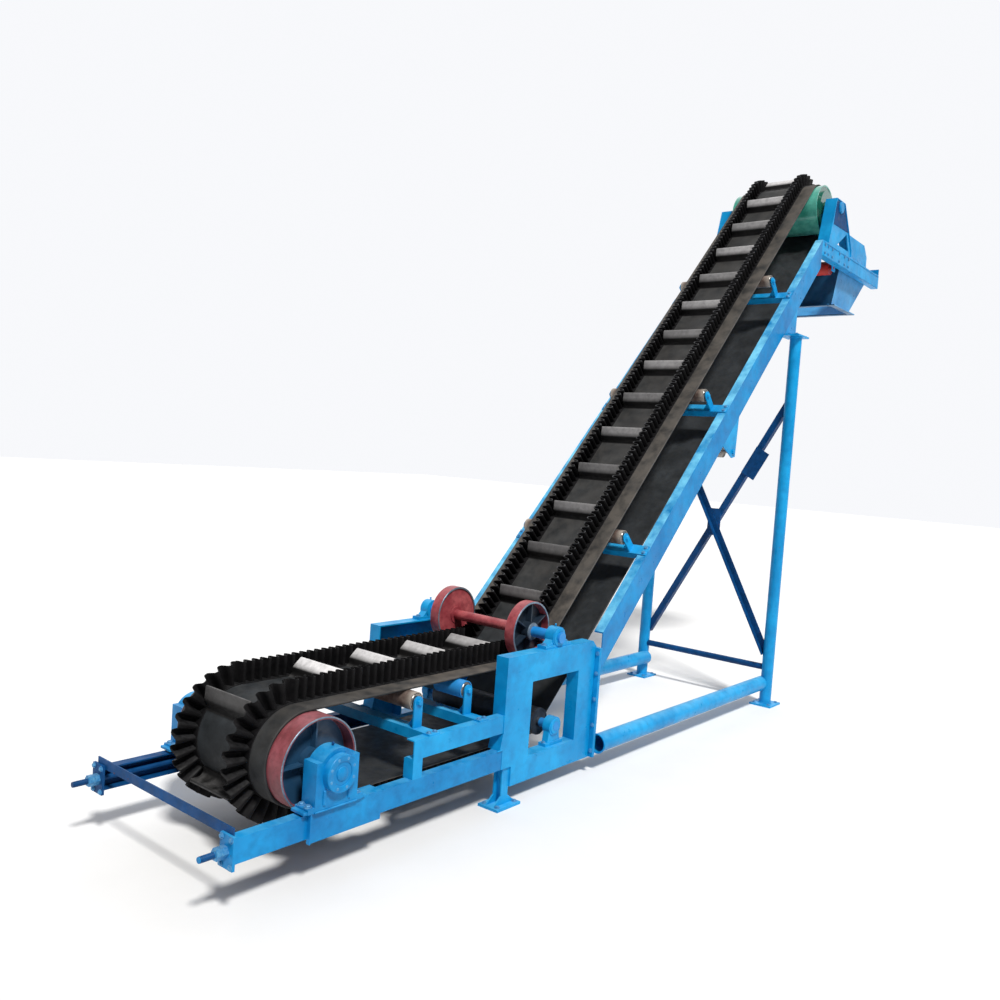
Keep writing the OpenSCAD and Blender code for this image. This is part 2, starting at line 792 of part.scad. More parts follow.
module leg() {
    place() {
        difference() {
            box([leg_x - leg_foot[0] / 2, -leg_y - leg_foot[1] / 2, 0],
                [leg_x + leg_foot[0] / 2, -leg_y + leg_foot[1] / 2, leg_foot[2]]);
            for (dx = [-72, 72]) for (dy = [-58, 58])
                translate([leg_x + dx, -leg_y + dy, -1])
                    cylinder(h = leg_foot[2] + 2, r = bolt_hole_r);
        }
        difference() {
            translate([leg_x, -leg_y, leg_foot[2] - weld])
                cylinder(h = leg_top - leg_foot[2] - leg_cap + 2 * weld, r = leg_d / 2);
            translate([leg_x, -leg_y, leg_foot[2] - 1])
                cylinder(h = leg_top, r = leg_d / 2 - 5);
        }
        // plate on the pipe, with two wedges up to the sloping rail
        box([leg_x - 110, -leg_y - 60, leg_top - leg_cap],
            [leg_x + 110, -beam_y + side_flange, leg_top]);
        for (y = [-beam_y + 2, -beam_y + side_flange - 20])
            side_plate([[leg_x - 100, leg_top - weld], [leg_x + 100, leg_top - weld],
                [leg_x + 100, rail_low_at(leg_x + 100) - bed],
                [leg_x - 100, rail_low_at(leg_x - 100) - bed]], y, y + 12);
    }
}
module leg_near() { color(blue) leg(); }
module leg_far() { color(blue) far() leg(); }

low_brace_z = 290;

module low_brace() {
    half = leg_y - leg_d / 2 + 8;
    color(blue) place() difference() {
        tube_y(leg_x, low_brace_z, 24, 4, -half, half);
        leg_space();
    }
}

brace_low = 400;
brace_high = 2370;
brace_w = 50;
splice_at = 0.76;

// angle bar from one leg to the other, on one face of the frame
module brace_bar(x) {
    half = leg_y - 20;
    rise = brace_high - brace_low;
    length = norm([2 * half, rise]);
    translate([x, half, brace_low]) rotate([atan2(2 * half, rise), 0, 0]) difference() {
        translate([0, -brace_w / 2, 0]) cube([brace_w, brace_w, length]);
        translate([steel_t, -brace_w / 2 + steel_t, -1])
            cube([brace_w, brace_w, length + 2]);
    }
}

module cross_brace() {
    gusset = 110;
    plate = 8;
    mid_z = (brace_low + brace_high) / 2;
    color(blue) place() difference() {
        union() {
            translate([plate / 2 - weld, 0, 0]) brace_bar(leg_x);
            translate([2 * leg_x - plate / 2 + weld, 0, 0]) mirror([1, 0, 0])
                mirror([0, 1, 0]) brace_bar(leg_x);
            box([leg_x - plate / 2, -gusset / 2, mid_z - gusset],
                [leg_x + plate / 2, gusset / 2, mid_z + gusset]);
            // splice plate on the bar that climbs to the near leg
            translate([leg_x - plate / 2, (leg_y - 20) * (1 - 2 * splice_at),
                brace_low + (brace_high - brace_low) * splice_at])
                rotate([atan2(2 * (leg_y - 20), brace_high - brace_low), 0, 0])
                    translate([0, -95, -120]) cube([plate, 120, 240]);
        }
        leg_space();
    }
}

// Head and discharge.
head_shaft_r = 32;
bracket_y = [-beam_y, -beam_y + 90];
bracket_top = head_z + 55;
bracket_foot = 330;               // from the drum's axis to the foot's far end
arm_z = rail_top_at(rail_end_x) - arm_h;

// box bracket on the arm that holds the drum's fixed shaft; its outline
// runs from the wide foot up to a narrow head round the shaft
module head_bracket() {
    low = arm_z + arm_h;
    skin = 10;
    foot = [head_x - 225, head_x + bracket_foot];
    head = [head_x - 115, head_x + 85];
    elbow = [head_x + 235, low + 190];
    place() difference() {
        side_plate([[foot[0], low], [foot[1], low],
            [foot[1], low + 50], elbow, [head[1], bracket_top],
            [head[0], bracket_top]], bracket_y[0], bracket_y[1]);
        // hollow behind the outer plate and its end flanges
        side_plate([[foot[0] + 14, low - 1], [foot[1] - skin, low - 1],
            [foot[1] - skin, low + 44], elbow - [skin, 5],
            [head[1] - skin, bracket_top - skin],
            [head[0] + skin, bracket_top - skin]],
            bracket_y[0] + skin, bracket_y[1] + 1);
        // lightening triangle in the outer plate
        side_plate([[head_x - 10, low + 35], [head_x + 270, low + 35],
            [head_x + 190, low + 165]], bracket_y[0] - 1, bracket_y[0] + skin + 1);
        bar_y(head_x, head_z, head_shaft_r + fit, bracket_y[0] - 1,
            bracket_y[0] + skin + 1);
    }
}
module head_bracket_near() { color(blue) head_bracket(); }
module head_bracket_far() { color(blue) far() head_bracket(); }

// drum with its drive inside: shell, domed end covers and shaft ends
module head_drum() {
    color(green) place() {
        drum(head_x, head_z, drum_r, 10, drum_half, head_shaft_r,
            12 - bracket_y[0]);
        for (s = [-1, 1]) {
            tube_y(head_x, head_z, drum_r - 45, drum_r - 45 - head_shaft_r + 1,
                s > 0 ? drum_half - 6 : -drum_half - 16,
                s > 0 ? drum_half + 16 : -drum_half + 6);
            tube_y(head_x, head_z, 66, 67 - head_shaft_r,
                s > 0 ? drum_half + 14 : -drum_half - 32,
                s > 0 ? drum_half + 32 : -drum_half - 14);
        }
        // the drive inside the drum, as one plain block on the shaft
        tube_y(head_x, head_z, 120, 121 - head_shaft_r, -210, 210);
    }
}

under_r = 57;
under_pin_r = 16;
under_x = head_x + 120;
under_z = arm_z - 8;
lug_y = -beam_y + side_flange;    // on the tips of the side arm's flanges
lug_t = 8;

module side_arm() {
    place() {
        translate([rail_end_x, -beam_y, arm_z])
            channel_x(arm_end_x - rail_end_x, arm_h, side_flange);
        // lug that carries the roller under the head
        difference() {
            box([under_x - 35, lug_y - weld, under_z - 32],
                [under_x + 35, lug_y + lug_t, arm_z + arm_h - steel_t / 2]);
            bar_y(under_x, under_z, under_pin_r + fit, lug_y - 1, lug_y + lug_t + 1);
        }
    }
}
module side_arm_near() { color(blue) side_arm(); }
module side_arm_far() { color(blue) far() side_arm(); }

module arm_tie() {
    color(blue) place() {
        box([arm_end_x - 70, -beam_y + 2, arm_z + arm_h],
            [arm_end_x, beam_y - 2, arm_z + arm_h + steel_t]);
        box([arm_end_x - steel_t, -beam_y + 2, arm_z + arm_h],
            [arm_end_x, beam_y - 2, arm_z + arm_h + 60]);
    }
}

cheek_x = [head_x + bracket_foot + 2, head_x + 830];
cheek_h = 195;

// upright plate beside the discharge, corner cut off
module cheek() {
    low = arm_z + arm_h;
    place() side_plate([[cheek_x[0], low], [cheek_x[1], low],
        [cheek_x[1], low + cheek_h - 90], [cheek_x[1] - 90, low + cheek_h],
        [cheek_x[0], low + cheek_h]], -beam_y + 24, -beam_y + 30);
}
module cheek_near() { color(blue) cheek(); }
module cheek_far() { color(blue) far() cheek(); }

module under_roller() {
    color(red) place() drum(under_x, under_z, under_r, 5,
        beam_y - 90, under_pin_r, -lug_y - 1);
}

hopper_x = head_x + 290;
hopper_y = beam_y - 72;
hopper_t = 5;
hopper_drop = [30, 290, 34];      // draw of the foot: tail end, far end, sides
hopper_top = arm_z + 30;
hopper_flange = 45;

// tapering open chute hung between the arms, with an outlet flange
module hopper() {
    low = hopper_top - hopper_h;
    x0 = hopper_x;
    x1 = hopper_x + hopper_l;
    bx0 = x0 - hopper_drop[0];
    bx1 = x1 - hopper_drop[1];
    by = hopper_y - hopper_drop[2];
    color(blue) place() {
        difference() {
            taper([x0, x1, hopper_y], [bx0, bx1, by], low, hopper_top);
            taper([x0 + hopper_t, x1 - hopper_t, hopper_y - hopper_t],
                [bx0 + hopper_t, bx1 - hopper_t, by - hopper_t],
                low - 1, hopper_top + 1);
        }
        difference() {
            box([bx0 - hopper_flange, -by - hopper_flange, low - 8],
                [bx1 + hopper_flange, by + hopper_flange, low + weld]);
            box([bx0 + hopper_t, -by + hopper_t, low - 9],
                [bx1 - hopper_t, by - hopper_t, low + 1]);
            for (x = [bx0 - 22, bx1 + 22]) for (s = [-1, 0, 1])
                translate([x, s * (by - 20), low - 9])
                    cylinder(h = 10, r = bolt_hole_r);
        }
        for (s = [-1, 1]) translate([0, s > 0 ? hopper_y - 2 : -hopper_y - 32, 0])
            box([x0 + 20, 0, arm_z + steel_t], [x1 - 20, 34, arm_z + steel_t + 8]);
    }
}

// four-sided frustum: [x0, x1, half width] at the top and at the foot
module taper(top, foot, z0, z1) {
    polyhedron(points = [
        [foot[0], -foot[2], z0], [foot[1], -foot[2], z0],
        [foot[1], foot[2], z0], [foot[0], foot[2], z0],
        [top[0], -top[2], z1], [top[1], -top[2], z1],
        [top[1], top[2], z1], [top[0], top[2], z1]],
        faces = [[0, 1, 2, 3], [7, 6, 5, 4], [4, 5, 1, 0],
            [5, 6, 2, 1], [6, 7, 3, 2], [7, 4, 0, 3]]);
}

belt_band();
belt_wall_upper();
belt_wall_lower();
belt_cleats();
lower_beam_near();
lower_beam_far();
tail_cross_bar();
take_up_near();
take_up_far();
tail_saddle_near();
tail_saddle_far();
tail_bearing_near();
tail_bearing_far();
tail_drum();
upper_rail_near();
upper_rail_far();
level_idler_frames();
level_idler_1();
level_idler_2();
bend_frame_near();
bend_frame_far();
front_foot_near();
front_foot_far();
press_bearing_near();
press_bearing_far();
press_wheels();
bend_bearing_near();
bend_bearing_far();
bend_drum();
foot_post_near();
foot_post_far();
floor_tubes();
side_rail_near();
side_rail_far();
steep_idler_frames();
steep_idler_1();
steep_idler_2();
steep_idler_3();
return_hanger();
return_roller();
leg_near();
leg_far();
low_brace();
cross_brace();
head_bracket_near();
head_bracket_far();
head_drum();
side_arm_near();
side_arm_far();
arm_tie();
cheek_near();
cheek_far();
under_roller();
hopper();
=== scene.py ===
"""Looks of an L-shaped belt conveyor with wavy sidewalls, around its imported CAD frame.

Sizes are in millimetres and are measured from the tail drum's axis, from the
belt's centre plane and from the floor, as in the CAD source. The Datum class
turns them into the metres of the row frame. The near side is -Y.
"""

from __future__ import annotations

import json
import logging
import math
from dataclasses import dataclass, field
from enum import Enum

import bpy
import numpy as np
from mathutils import Matrix, Vector

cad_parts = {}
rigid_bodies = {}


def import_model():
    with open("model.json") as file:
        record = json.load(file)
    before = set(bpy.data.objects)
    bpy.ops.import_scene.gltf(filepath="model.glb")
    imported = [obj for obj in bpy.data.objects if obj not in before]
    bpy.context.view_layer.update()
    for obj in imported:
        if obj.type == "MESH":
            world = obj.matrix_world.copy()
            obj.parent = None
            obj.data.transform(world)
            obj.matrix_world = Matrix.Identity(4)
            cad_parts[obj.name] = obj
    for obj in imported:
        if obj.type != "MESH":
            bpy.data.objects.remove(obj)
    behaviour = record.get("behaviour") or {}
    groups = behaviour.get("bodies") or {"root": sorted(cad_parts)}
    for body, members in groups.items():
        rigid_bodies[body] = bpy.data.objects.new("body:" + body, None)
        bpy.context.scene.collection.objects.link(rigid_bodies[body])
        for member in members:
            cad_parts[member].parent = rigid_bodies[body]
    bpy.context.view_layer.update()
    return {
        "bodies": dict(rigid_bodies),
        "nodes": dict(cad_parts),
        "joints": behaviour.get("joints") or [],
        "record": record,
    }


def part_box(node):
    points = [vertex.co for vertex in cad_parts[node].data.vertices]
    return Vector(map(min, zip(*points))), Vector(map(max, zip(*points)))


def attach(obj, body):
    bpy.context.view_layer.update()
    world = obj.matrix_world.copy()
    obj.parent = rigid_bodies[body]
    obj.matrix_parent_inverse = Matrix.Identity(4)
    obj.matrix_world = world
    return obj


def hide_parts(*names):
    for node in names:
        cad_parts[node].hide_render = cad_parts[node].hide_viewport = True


Tree = bpy.types.NodeTree
Node = bpy.types.Node
Socket = bpy.types.NodeSocket
Material = bpy.types.Material

LOG = logging.getLogger("conveyor")
MM = 0.001
# the sloping side rails: where their upper edge starts, slope and depth
RAIL_START = (1925.0, 757.0)
RAIL_ANGLE = math.radians(45.3)
RAIL_DEPTH = 160.0
# how far a painted surface's bolts, covers and lips stand off it
SEAT = 0.2


# Places.
class Side(Enum):
    """The two sides of the conveyor, by the sign of Y."""

    NEAR = -1
    FAR = 1


@dataclass(frozen=True)
class Datum:
    """Where the tail drum's axis lies in the row frame, in metres."""

    tail_x: float

    @staticmethod
    def from_frame() -> "Datum":
        """Reads the tail drum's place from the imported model."""
        low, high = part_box("tail_drum")
        return Datum((low.x + high.x) / 2)

    def place(self, points: np.ndarray) -> np.ndarray:
        """Turns millimetres from the tail axis into metres of the row frame.

        Args:
            points: an array whose last axis is X, Y, Z in millimetres.

        Returns:
            The same array in metres, moved to the row's origin.
        """
        moved = np.asarray(points, float) * MM
        moved[..., 0] += self.tail_x
        return moved

    def centre(self, node: str) -> tuple[float, float]:
        """Gives X and Z of a CAD node's middle, in millimetres from the tail axis."""
        low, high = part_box(node)
        return ((low.x + high.x) / 2 - self.tail_x) / MM, (low.z + high.z) / 2 / MM

    def heights(self, node: str) -> tuple[float, float]:
        """Gives the heights of a CAD node's foot and top, in millimetres."""
        low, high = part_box(node)
        return low.z / MM, high.z / MM


# Surfaces.
@dataclass
class Surface:
    """A mesh in the making: vertices in millimetres, faces and one UV a vertex."""

    verts: np.ndarray
    faces: list
    uv: np.ndarray

    @staticmethod
    def joined(parts: list["Surface"]) -> "Surface":
        """Puts several surfaces into one.

        Args:
            parts: the surfaces, whose faces count from zero each.

        Returns:
            One surface that holds them all.
        """
        offset, faces = 0, []
        for part in parts:
            faces += [[i + offset for i in face] for face in part.faces]
            offset += len(part.verts)
        return Surface(np.concatenate([p.verts for p in parts]), faces,
                       np.concatenate([p.uv for p in parts]))

    def build(self, name: str, datum: Datum, finish: Material,
              body: str, sharp_deg: float = 35.0) -> bpy.types.Object:
        """Makes the Blender object and lets it ride on a CAD body.

        Args:
            name: the piece's name.
            datum: the tail axis.
            finish: the piece's material.
            body: the CAD body that carries it.
            sharp_deg: edges that turn by more than this stay sharp.

        Returns:
            The new object.
        """
        mesh = bpy.data.meshes.new(name)
        mesh.from_pydata(datum.place(self.verts).tolist(), [], self.faces)
        layer = mesh.uv_layers.new(name="length_width")
        corner = np.zeros(len(mesh.loops), np.int32)
        mesh.loops.foreach_get("vertex_index", corner)
        layer.data.foreach_set("uv", self.uv[corner].astype(np.float32).ravel())
        mesh.shade_smooth()
        mesh.set_sharp_from_angle(angle=math.radians(sharp_deg))
        mesh.materials.append(finish)
        piece = bpy.data.objects.new(name, mesh)
        bpy.context.scene.collection.objects.link(piece)
        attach(piece, body)
        LOG.info("%s: %d faces on %s", name, len(self.faces), body)
        return piece


def grid_faces(rows: int, cols: int, wrap_rows: bool, wrap_cols: bool) -> list:
    """Joins the points of a grid with four-sided faces.

    Args:
        rows: how many points the first parameter has.
        cols: how many points the second parameter has.
        wrap_rows: the last row meets the first.
        wrap_cols: the last column meets the first.

    Returns:
        A list of faces, each four indices into the flattened grid.
    """
    r = np.arange(rows if wrap_rows else rows - 1)
    c = np.arange(cols if wrap_cols else cols - 1)
    a, b = np.meshgrid(r, c, indexing="ij")
    a2, b2 = (a + 1) % rows, (b + 1) % cols
    quads = np.stack([a * cols + b, a * cols + b2, a2 * cols + b2, a2 * cols + b], -1)
    return quads.reshape(-1, 4).tolist()


def outward(surface: Surface) -> Surface:
    """Turns a closed surface's faces over if they enclose a negative volume.

    The volume is the sum, over the triangles each face fans out into, of the
    triple product of their corners, divided by six.
    """
    verts = surface.verts - surface.verts.mean(axis=0)
    volume = 0.0
    for size in {len(face) for face in surface.faces}:
        ring = np.array([face for face in surface.faces if len(face) == size])
        for k in range(1, size - 1):
            across = np.cross(verts[ring[:, k]], verts[ring[:, k + 1]])
            volume += float((verts[ring[:, 0]] * across).sum()) / 6
    if volume < 0:
        surface.faces = [face[::-1] for face in surface.faces]
    return surface


def carried(section: np.ndarray, origin: np.ndarray, side: np.ndarray, up: np.ndarray,
            closed: bool, along: np.ndarray | None = None) -> Surface:
    """Carries a closed section along a path.

    Point (i, j) is origin[i] + section[j, 0] * side[i] + section[j, 1] * up[i].
    A section of three axes has its own outline at each station.

    Args:
        section: (M, 2) or (N, M, 2) outline.
        origin: (N, 3) stations of the path.
        side: (N, 3) direction of the outline's first axis at each station.
        up: (N, 3) direction of its second axis.
        closed: the path is a loop; otherwise both ends get a face.
        along: (N,) length along the path for the UV, in millimetres.

    Returns:
        The swept surface.
    """
    if section.ndim == 2:
        section = np.broadcast_to(section, (len(origin), *section.shape))
    rows, cols = section.shape[:2]
    verts = (origin[:, None] + section[..., :1] * side[:, None]
             + section[..., 1:] * up[:, None])
    faces = grid_faces(rows, cols, closed, True)
    if not closed:
        faces.append(list(range(cols))[::-1])
        faces.append([(rows - 1) * cols + j for j in range(cols)])
    length = np.zeros(rows) if along is None else along
    step = np.linalg.norm(np.diff(section, axis=1, append=section[:, :1]), axis=-1)
    around = np.cumsum(step, axis=1) - step
    uv = np.stack([np.broadcast_to(length[:, None], (rows, cols)), around], -1) * MM
    return outward(Surface(verts.reshape(-1, 3), faces, uv.reshape(-1, 2)))


def turned(profile: np.ndarray, centre: np.ndarray, axis: np.ndarray,
           segments: int = 48) -> Surface:
    """Turns a closed profile of radius and height round an axis.

    Point (i, j) lies at angle 2 pi i / segments, profile[j, 0] from the axis and
    profile[j, 1] along it.

    Args:
        profile: (M, 2) radius and height, in order round the outline.
        centre: a point on the axis.
        axis: the axis' direction.
        segments: how many steps a full turn has.

    Returns:
        The turned surface.
    """
    axis = np.asarray(axis, float) / np.linalg.norm(axis)
    first = np.cross(axis, [0.0, 0.0, 1.0] if abs(axis[2]) < 0.9 else [1.0, 0.0, 0.0])
    first /= np.linalg.norm(first)
    second = np.cross(axis, first)
    angle = np.arange(segments) * 2 * math.pi / segments
    out = np.cos(angle)[:, None] * first + np.sin(angle)[:, None] * second
    verts = (np.asarray(centre, float) + out[:, None] * profile[None, :, :1]
             + axis * profile[None, :, 1:])
    faces = grid_faces(segments, len(profile), True, True)
    uv = np.stack([np.broadcast_to(angle[:, None], verts.shape[:2]),
                   np.broadcast_to(profile[None, :, 1] * MM, verts.shape[:2])], -1)
    return outward(Surface(verts.reshape(-1, 3), faces, uv.reshape(-1, 2)))


def placed(template: Surface, places: list | np.ndarray, axis: tuple) -> Surface:
    """Repeats a template whose own axis is +Z.

    Copy k is places[k] + x first + y second + z axis, where first and second are
    square to the axis and to each other.

    Args:
        template: the small surface, with its foot at the origin.
        places: (N, 3) feet of the copies.
        axis: the direction all the copies point in.

    Returns:
        One surface with all the copies.
    """
    places = np.atleast_2d(np.asarray(places, float))
    third = np.asarray(axis, float) / np.linalg.norm(axis)
    first = np.cross([0.0, 1.0, 0.0] if abs(third[1]) < 0.9 else [0.0, 0.0, 1.0], third)
    first /= np.linalg.norm(first)
    basis = np.stack([first, np.cross(third, first), third])
    verts = (places[:, None] + template.verts @ basis).reshape(-1, 3)
    size = len(template.verts)
    faces = [[i + k * size for i in face] for k in range(len(places))
             for face in template.faces]
    return Surface(verts, faces, np.tile(template.uv, (len(places), 1)))


def round_part(profile: list, segments: int = 24) -> Surface:
    """Turns a profile of radius and height round +Z at the origin."""
    return turned(np.array(profile, float), np.zeros(3), np.array([0.0, 0.0, 1.0]),
                  segments)


def bolt(radius: float) -> Surface:
    """Makes a hexagon bolt head on a washer, with its foot at the origin.

    The head has six corners at the radius, a chamfered crown and a low step;
    the washer is a ring half as wide again.
    """
    r, h = radius, radius * 0.75
    washer = round_part([[0, 0], [r * 1.35, 0], [r * 1.35, r * 0.2], [r * 1.25, r * 0.28],
                         [0, r * 0.28]], 16)
    head = round_part([[0, r * 0.28], [r, r * 0.28], [r, h * 0.95], [r * 0.82, h * 1.15],
                       [0, h * 1.15]], 6)
    return Surface.joined([washer, head])


def nut(radius: float, height: float) -> Surface:
    """Makes a hexagon nut or cap of a given height, chamfered at its outer end."""
    r, h = radius, height
    return round_part([[0, 0], [r, 0], [r, h - r * 0.12], [r * 0.86, h], [0, h]], 6)


def bar(start: tuple, end: tuple, width: float, height: float, side: tuple,
        bevel: float = 1.5) -> Surface:
    """Carries a rectangle with cut corners from one point to another.

    Args:
        start: middle of the first end.
        end: middle of the last end.
        width: size along the side direction.
        height: size square to the side direction and to the bar.
        side: direction of the width.
        bevel: how far the corners are cut.

    Returns:
        The bar with bevelled ends.
    """
    w, h, b = width / 2, height / 2, bevel
    section = np.array([[-w, -h + b], [-w + b, -h], [w - b, -h], [w, -h + b],
                        [w, h - b], [w - b, h], [-w + b, h], [-w, h - b]])
    small = section * [(w - b) / w, (h - b) / h]
    first, last = np.asarray(start, float), np.asarray(end, float)
    way = (last - first) / np.linalg.norm(last - first)
    across = np.asarray(side, float) / np.linalg.norm(side)
    up = np.cross(way, across)
    origin = np.stack([first, first + way * b, last - way * b, last])
    return carried(np.stack([small, section, section, small]), origin,
                   np.tile(across, (4, 1)), np.tile(up, (4, 1)), False)


def bead(points: list, radius: float = 4.0, pitch: float = 9.0) -> Surface:
    """Lays a weld bead along a line of points.

    The bead's radius is radius (1 + 0.12 sin(2 pi s / pitch)) at the length s.

    Args:
        points: corners of the line in millimetres.
        radius: the bead's mean radius.
        pitch: the distance between two ripples.

    Returns:
        A tube of six sides with closed ends.
    """
    corner = np.asarray(points, float)
    run = np.concatenate([[0.0], np.cumsum(np.linalg.norm(np.diff(corner, axis=0),
                                                          axis=1))])
    s = np.linspace(0.0, run[-1], max(4, int(run[-1] / pitch * 3)))
    line = np.stack([np.interp(s, run, corner[:, k]) for k in range(3)], -1)
    way = np.gradient(line, axis=0)
    way /= np.linalg.norm(way, axis=1, keepdims=True)
    lean = np.array([0.31, 0.52, 0.79])
    side = np.cross(way, lean)
    side /= np.linalg.norm(side, axis=1, keepdims=True)
    angle = np.arange(6) * math.pi / 3
    ring = np.stack([np.cos(angle), np.sin(angle)], -1)
    swell = radius * (1 + 0.12 * np.sin(2 * math.pi * s / pitch))
    return carried(ring * swell[:, None, None], line, side, np.cross(way, side), False)


# Finishes.
def linear(hex_colour: str) -> tuple[float, float, float, float]:
    """Turns an sRGB hex colour into linear red, green, blue and alpha."""
    raw = [int(hex_colour.lstrip("#")[i:i + 2], 16) / 255 for i in (0, 2, 4)]
    return (*[c / 12.92 if c <= 0.04045 else ((c + 0.055) / 1.055) ** 2.4
              for c in raw], 1.0)


def per_metre(size_mm: float) -> float:
    """Gives the scale at which a pattern's features are size_mm apart."""
    return 1.0 / (size_mm * MM)


def add(tree: Tree, kind: str, settings: dict | None = None,
        links: dict | None = None, **attributes: object) -> Node:
    """Adds a node with its settings and links.

    Args:
        tree: the material's node tree.
        kind: the node's type, without the leading "ShaderNode".
        settings: values of input sockets by name or number.
        links: output sockets to join to input sockets, by name or number.
        **attributes: the node's own attributes.

    Returns:
        The new node.
    """
    node = tree.nodes.new("ShaderNode" + kind)
    for name, value in attributes.items():
        setattr(node, name, value)
    for name, value in (settings or {}).items():
        node.inputs[name].default_value = value
    for name, socket in (links or {}).items():
        tree.links.new(socket, node.inputs[name])
    return node


@dataclass(frozen=True)
class Finish:
    """A surface finish: colour, its variation, dust and painted highlight, gloss."""

    name: str
    base: str
    light: str
    dark: str
    dust_and_highlight: str
    roughness: float = 0.5
    rough_spread: float = 0.15
    metallic: float = 0.0
    blotch_mm: float = 260.0
    grain_mm: float = 6.0
    bump_mm: float = 0.4
    top_dust_highlight: float = 0.4
    spot_share: float = 0.0
    spot_mm: float = 30.0
    coat: float = 0.0
    specular: float = 0.5

    def start(self) -> tuple[Material, Tree, Node, Node]:
        """Makes the material with its shader and Object coordinates."""
        material = bpy.data.materials.new(self.name)
        material.use_nodes = True
        tree = material.node_tree
        tree.nodes.clear()
        shader = add(tree, "BsdfPrincipled", {
            "Metallic": self.metallic, "Coat Weight": self.coat,
            "Coat Roughness": 0.12, "Specular IOR Level": self.specular})
        add(tree, "OutputMaterial", links={"Surface": shader.outputs["BSDF"]})
        where = add(tree, "TexCoord")
        return material, tree, shader, where

    def noise(self, tree: Tree, where: Socket, size_mm: float,
              detail: float = 4.0) -> Socket:
        """Adds noise whose features are size_mm apart."""
        return add(tree, "TexNoise", {"Scale": per_metre(size_mm), "Detail": detail,
                                      "Roughness": 0.6}, {"Vector": where}).outputs["Fac"]

    def ramp(self, tree: Tree, value: Socket, low: float, high: float) -> Socket:
        """Stretches a value so that low becomes 0 and high becomes 1."""
        return add(tree, "MapRange", {1: low, 2: high}, {0: value},
                   clamp=True).outputs[0]

    def mix(self, tree: Tree, share: Socket, first: Socket | str,
            second: Socket | str) -> Socket:
        """Mixes two colours, given as sockets or as hex values."""
        node = add(tree, "Mix", {}, {0: share}, data_type="RGBA")
        for slot, colour in ((6, first), (7, second)):
            if isinstance(colour, str):
                node.inputs[slot].default_value = linear(colour)
            else:
                tree.links.new(colour, node.inputs[slot])
        return node.outputs[2]

    def times(self, tree: Tree, first: Socket, second: Socket | float) -> Socket:
        """Multiplies two values."""
        node = add(tree, "Math", {}, {0: first}, operation="MULTIPLY")
        if isinstance(second, float):
            node.inputs[1].default_value = second
        else:
            tree.links.new(second, node.inputs[1])
        return node.outputs[0]

    def part(self, tree: Tree, vector: Socket, axis: str) -> Socket:
        """Takes one axis of a vector."""
        return add(tree, "SeparateXYZ", {}, {0: vector}).outputs[axis]

    def upward(self, tree: Tree) -> Socket:
        """Gives 1 on faces that look up and 0 on upright ones."""
        facing = add(tree, "NewGeometry").outputs["Normal"]
        return self.ramp(tree, self.part(tree, facing, "Z"), 0.35, 0.95)

    def colour(self, tree: Tree, where: Node) -> Socket:
        """Mixes base, light and dark patches, top dust and painted highlight, rust spots.
        """
        place = where.outputs["Object"]
        blotch = self.ramp(tree, self.noise(tree, place, self.blotch_mm), 0.38, 0.68)
        grain = self.ramp(tree, self.noise(tree, place, self.blotch_mm / 5), 0.42, 0.75)
        tone = self.mix(tree, blotch, self.base, self.light)
        tone = self.mix(tree, self.times(tree, grain, 0.45), tone, self.dark)
        # dust on top faces; on the blue enamels its paler cyan is a painted highlight
        cover = self.times(tree, self.upward(tree), self.ramp(
            tree, self.noise(tree, place, self.blotch_mm / 3), 0.35, 0.75))
        tone = self.mix(tree, self.times(tree, cover, self.top_dust_highlight), tone, self.dust_and_highlight)
        if self.spot_share > 0:
            spot = self.ramp(tree, self.noise(tree, place, self.spot_mm, 8.0),
                             0.72 - self.spot_share, 0.76 - self.spot_share)
            tone = self.mix(tree, self.times(tree, spot, 0.85), tone, "#5A3322")
        return tone

    def finished(self, tree: Tree, shader: Node, where: Node, colour: Socket) -> None:
        """Joins colour, roughness and bump to the shader."""
        place = where.outputs["Object"]
        tree.links.new(colour, shader.inputs["Base Color"])
        wear = self.noise(tree, place, self.blotch_mm / 4)
        low = self.roughness - self.rough_spread
        high = self.roughness + self.rough_spread
        rough = add(tree, "MapRange", {1: 0.3, 2: 0.7, 3: low, 4: high}, {0: wear},
                    clamp=True).outputs[0]
        tree.links.new(rough, shader.inputs["Roughness"])
        fine = self.noise(tree, place, self.grain_mm, 2.0)
        bump = add(tree, "Bump", {"Strength": 0.35, "Distance": self.bump_mm * MM},
                   {"Height": fine})
        tree.links.new(bump.outputs["Normal"], shader.inputs["Normal"])

    def material(self) -> Material:
        """Builds the finish as a Blender material."""
        material, tree, shader, where = self.start()
        self.finished(tree, shader, where, self.colour(tree, where))
        return material


@dataclass(frozen=True)
class Rubber(Finish):
    """Rubber with a pale mark by a mask on the piece's own UV: dust on the band,
    dust and painted highlight on the cleats, painted highlight on the walls' crests.

    The mask rises from 0 to 1 while the UV's second value, which each piece of
    the belt fills with its amount of that mark, runs from the mask's lower bound to its
    upper bound.
    """

    dust_highlight_from: float = 0.0
    dust_highlight_to: float = 1.0
    dust_highlight_share: float = 0.6
    patch_mm: float = 90.0
    patch_from: float = 0.25

    def colour(self, tree: Tree, where: Node) -> Socket:
        """Mixes dark rubber, scuffs and the dust and painted highlight of the mask."""
        tone = super().colour(tree, where)
        across = self.part(tree, where.outputs["UV"], "Y")
        mask = self.ramp(tree, across, self.dust_highlight_from, self.dust_highlight_to)
        patch = self.ramp(tree, self.noise(tree, where.outputs["Object"], self.patch_mm),
                          self.patch_from, 0.6)
        return self.mix(tree, self.times(tree, self.times(tree, mask, patch),
                                         self.dust_highlight_share), tone, self.dust_and_highlight)


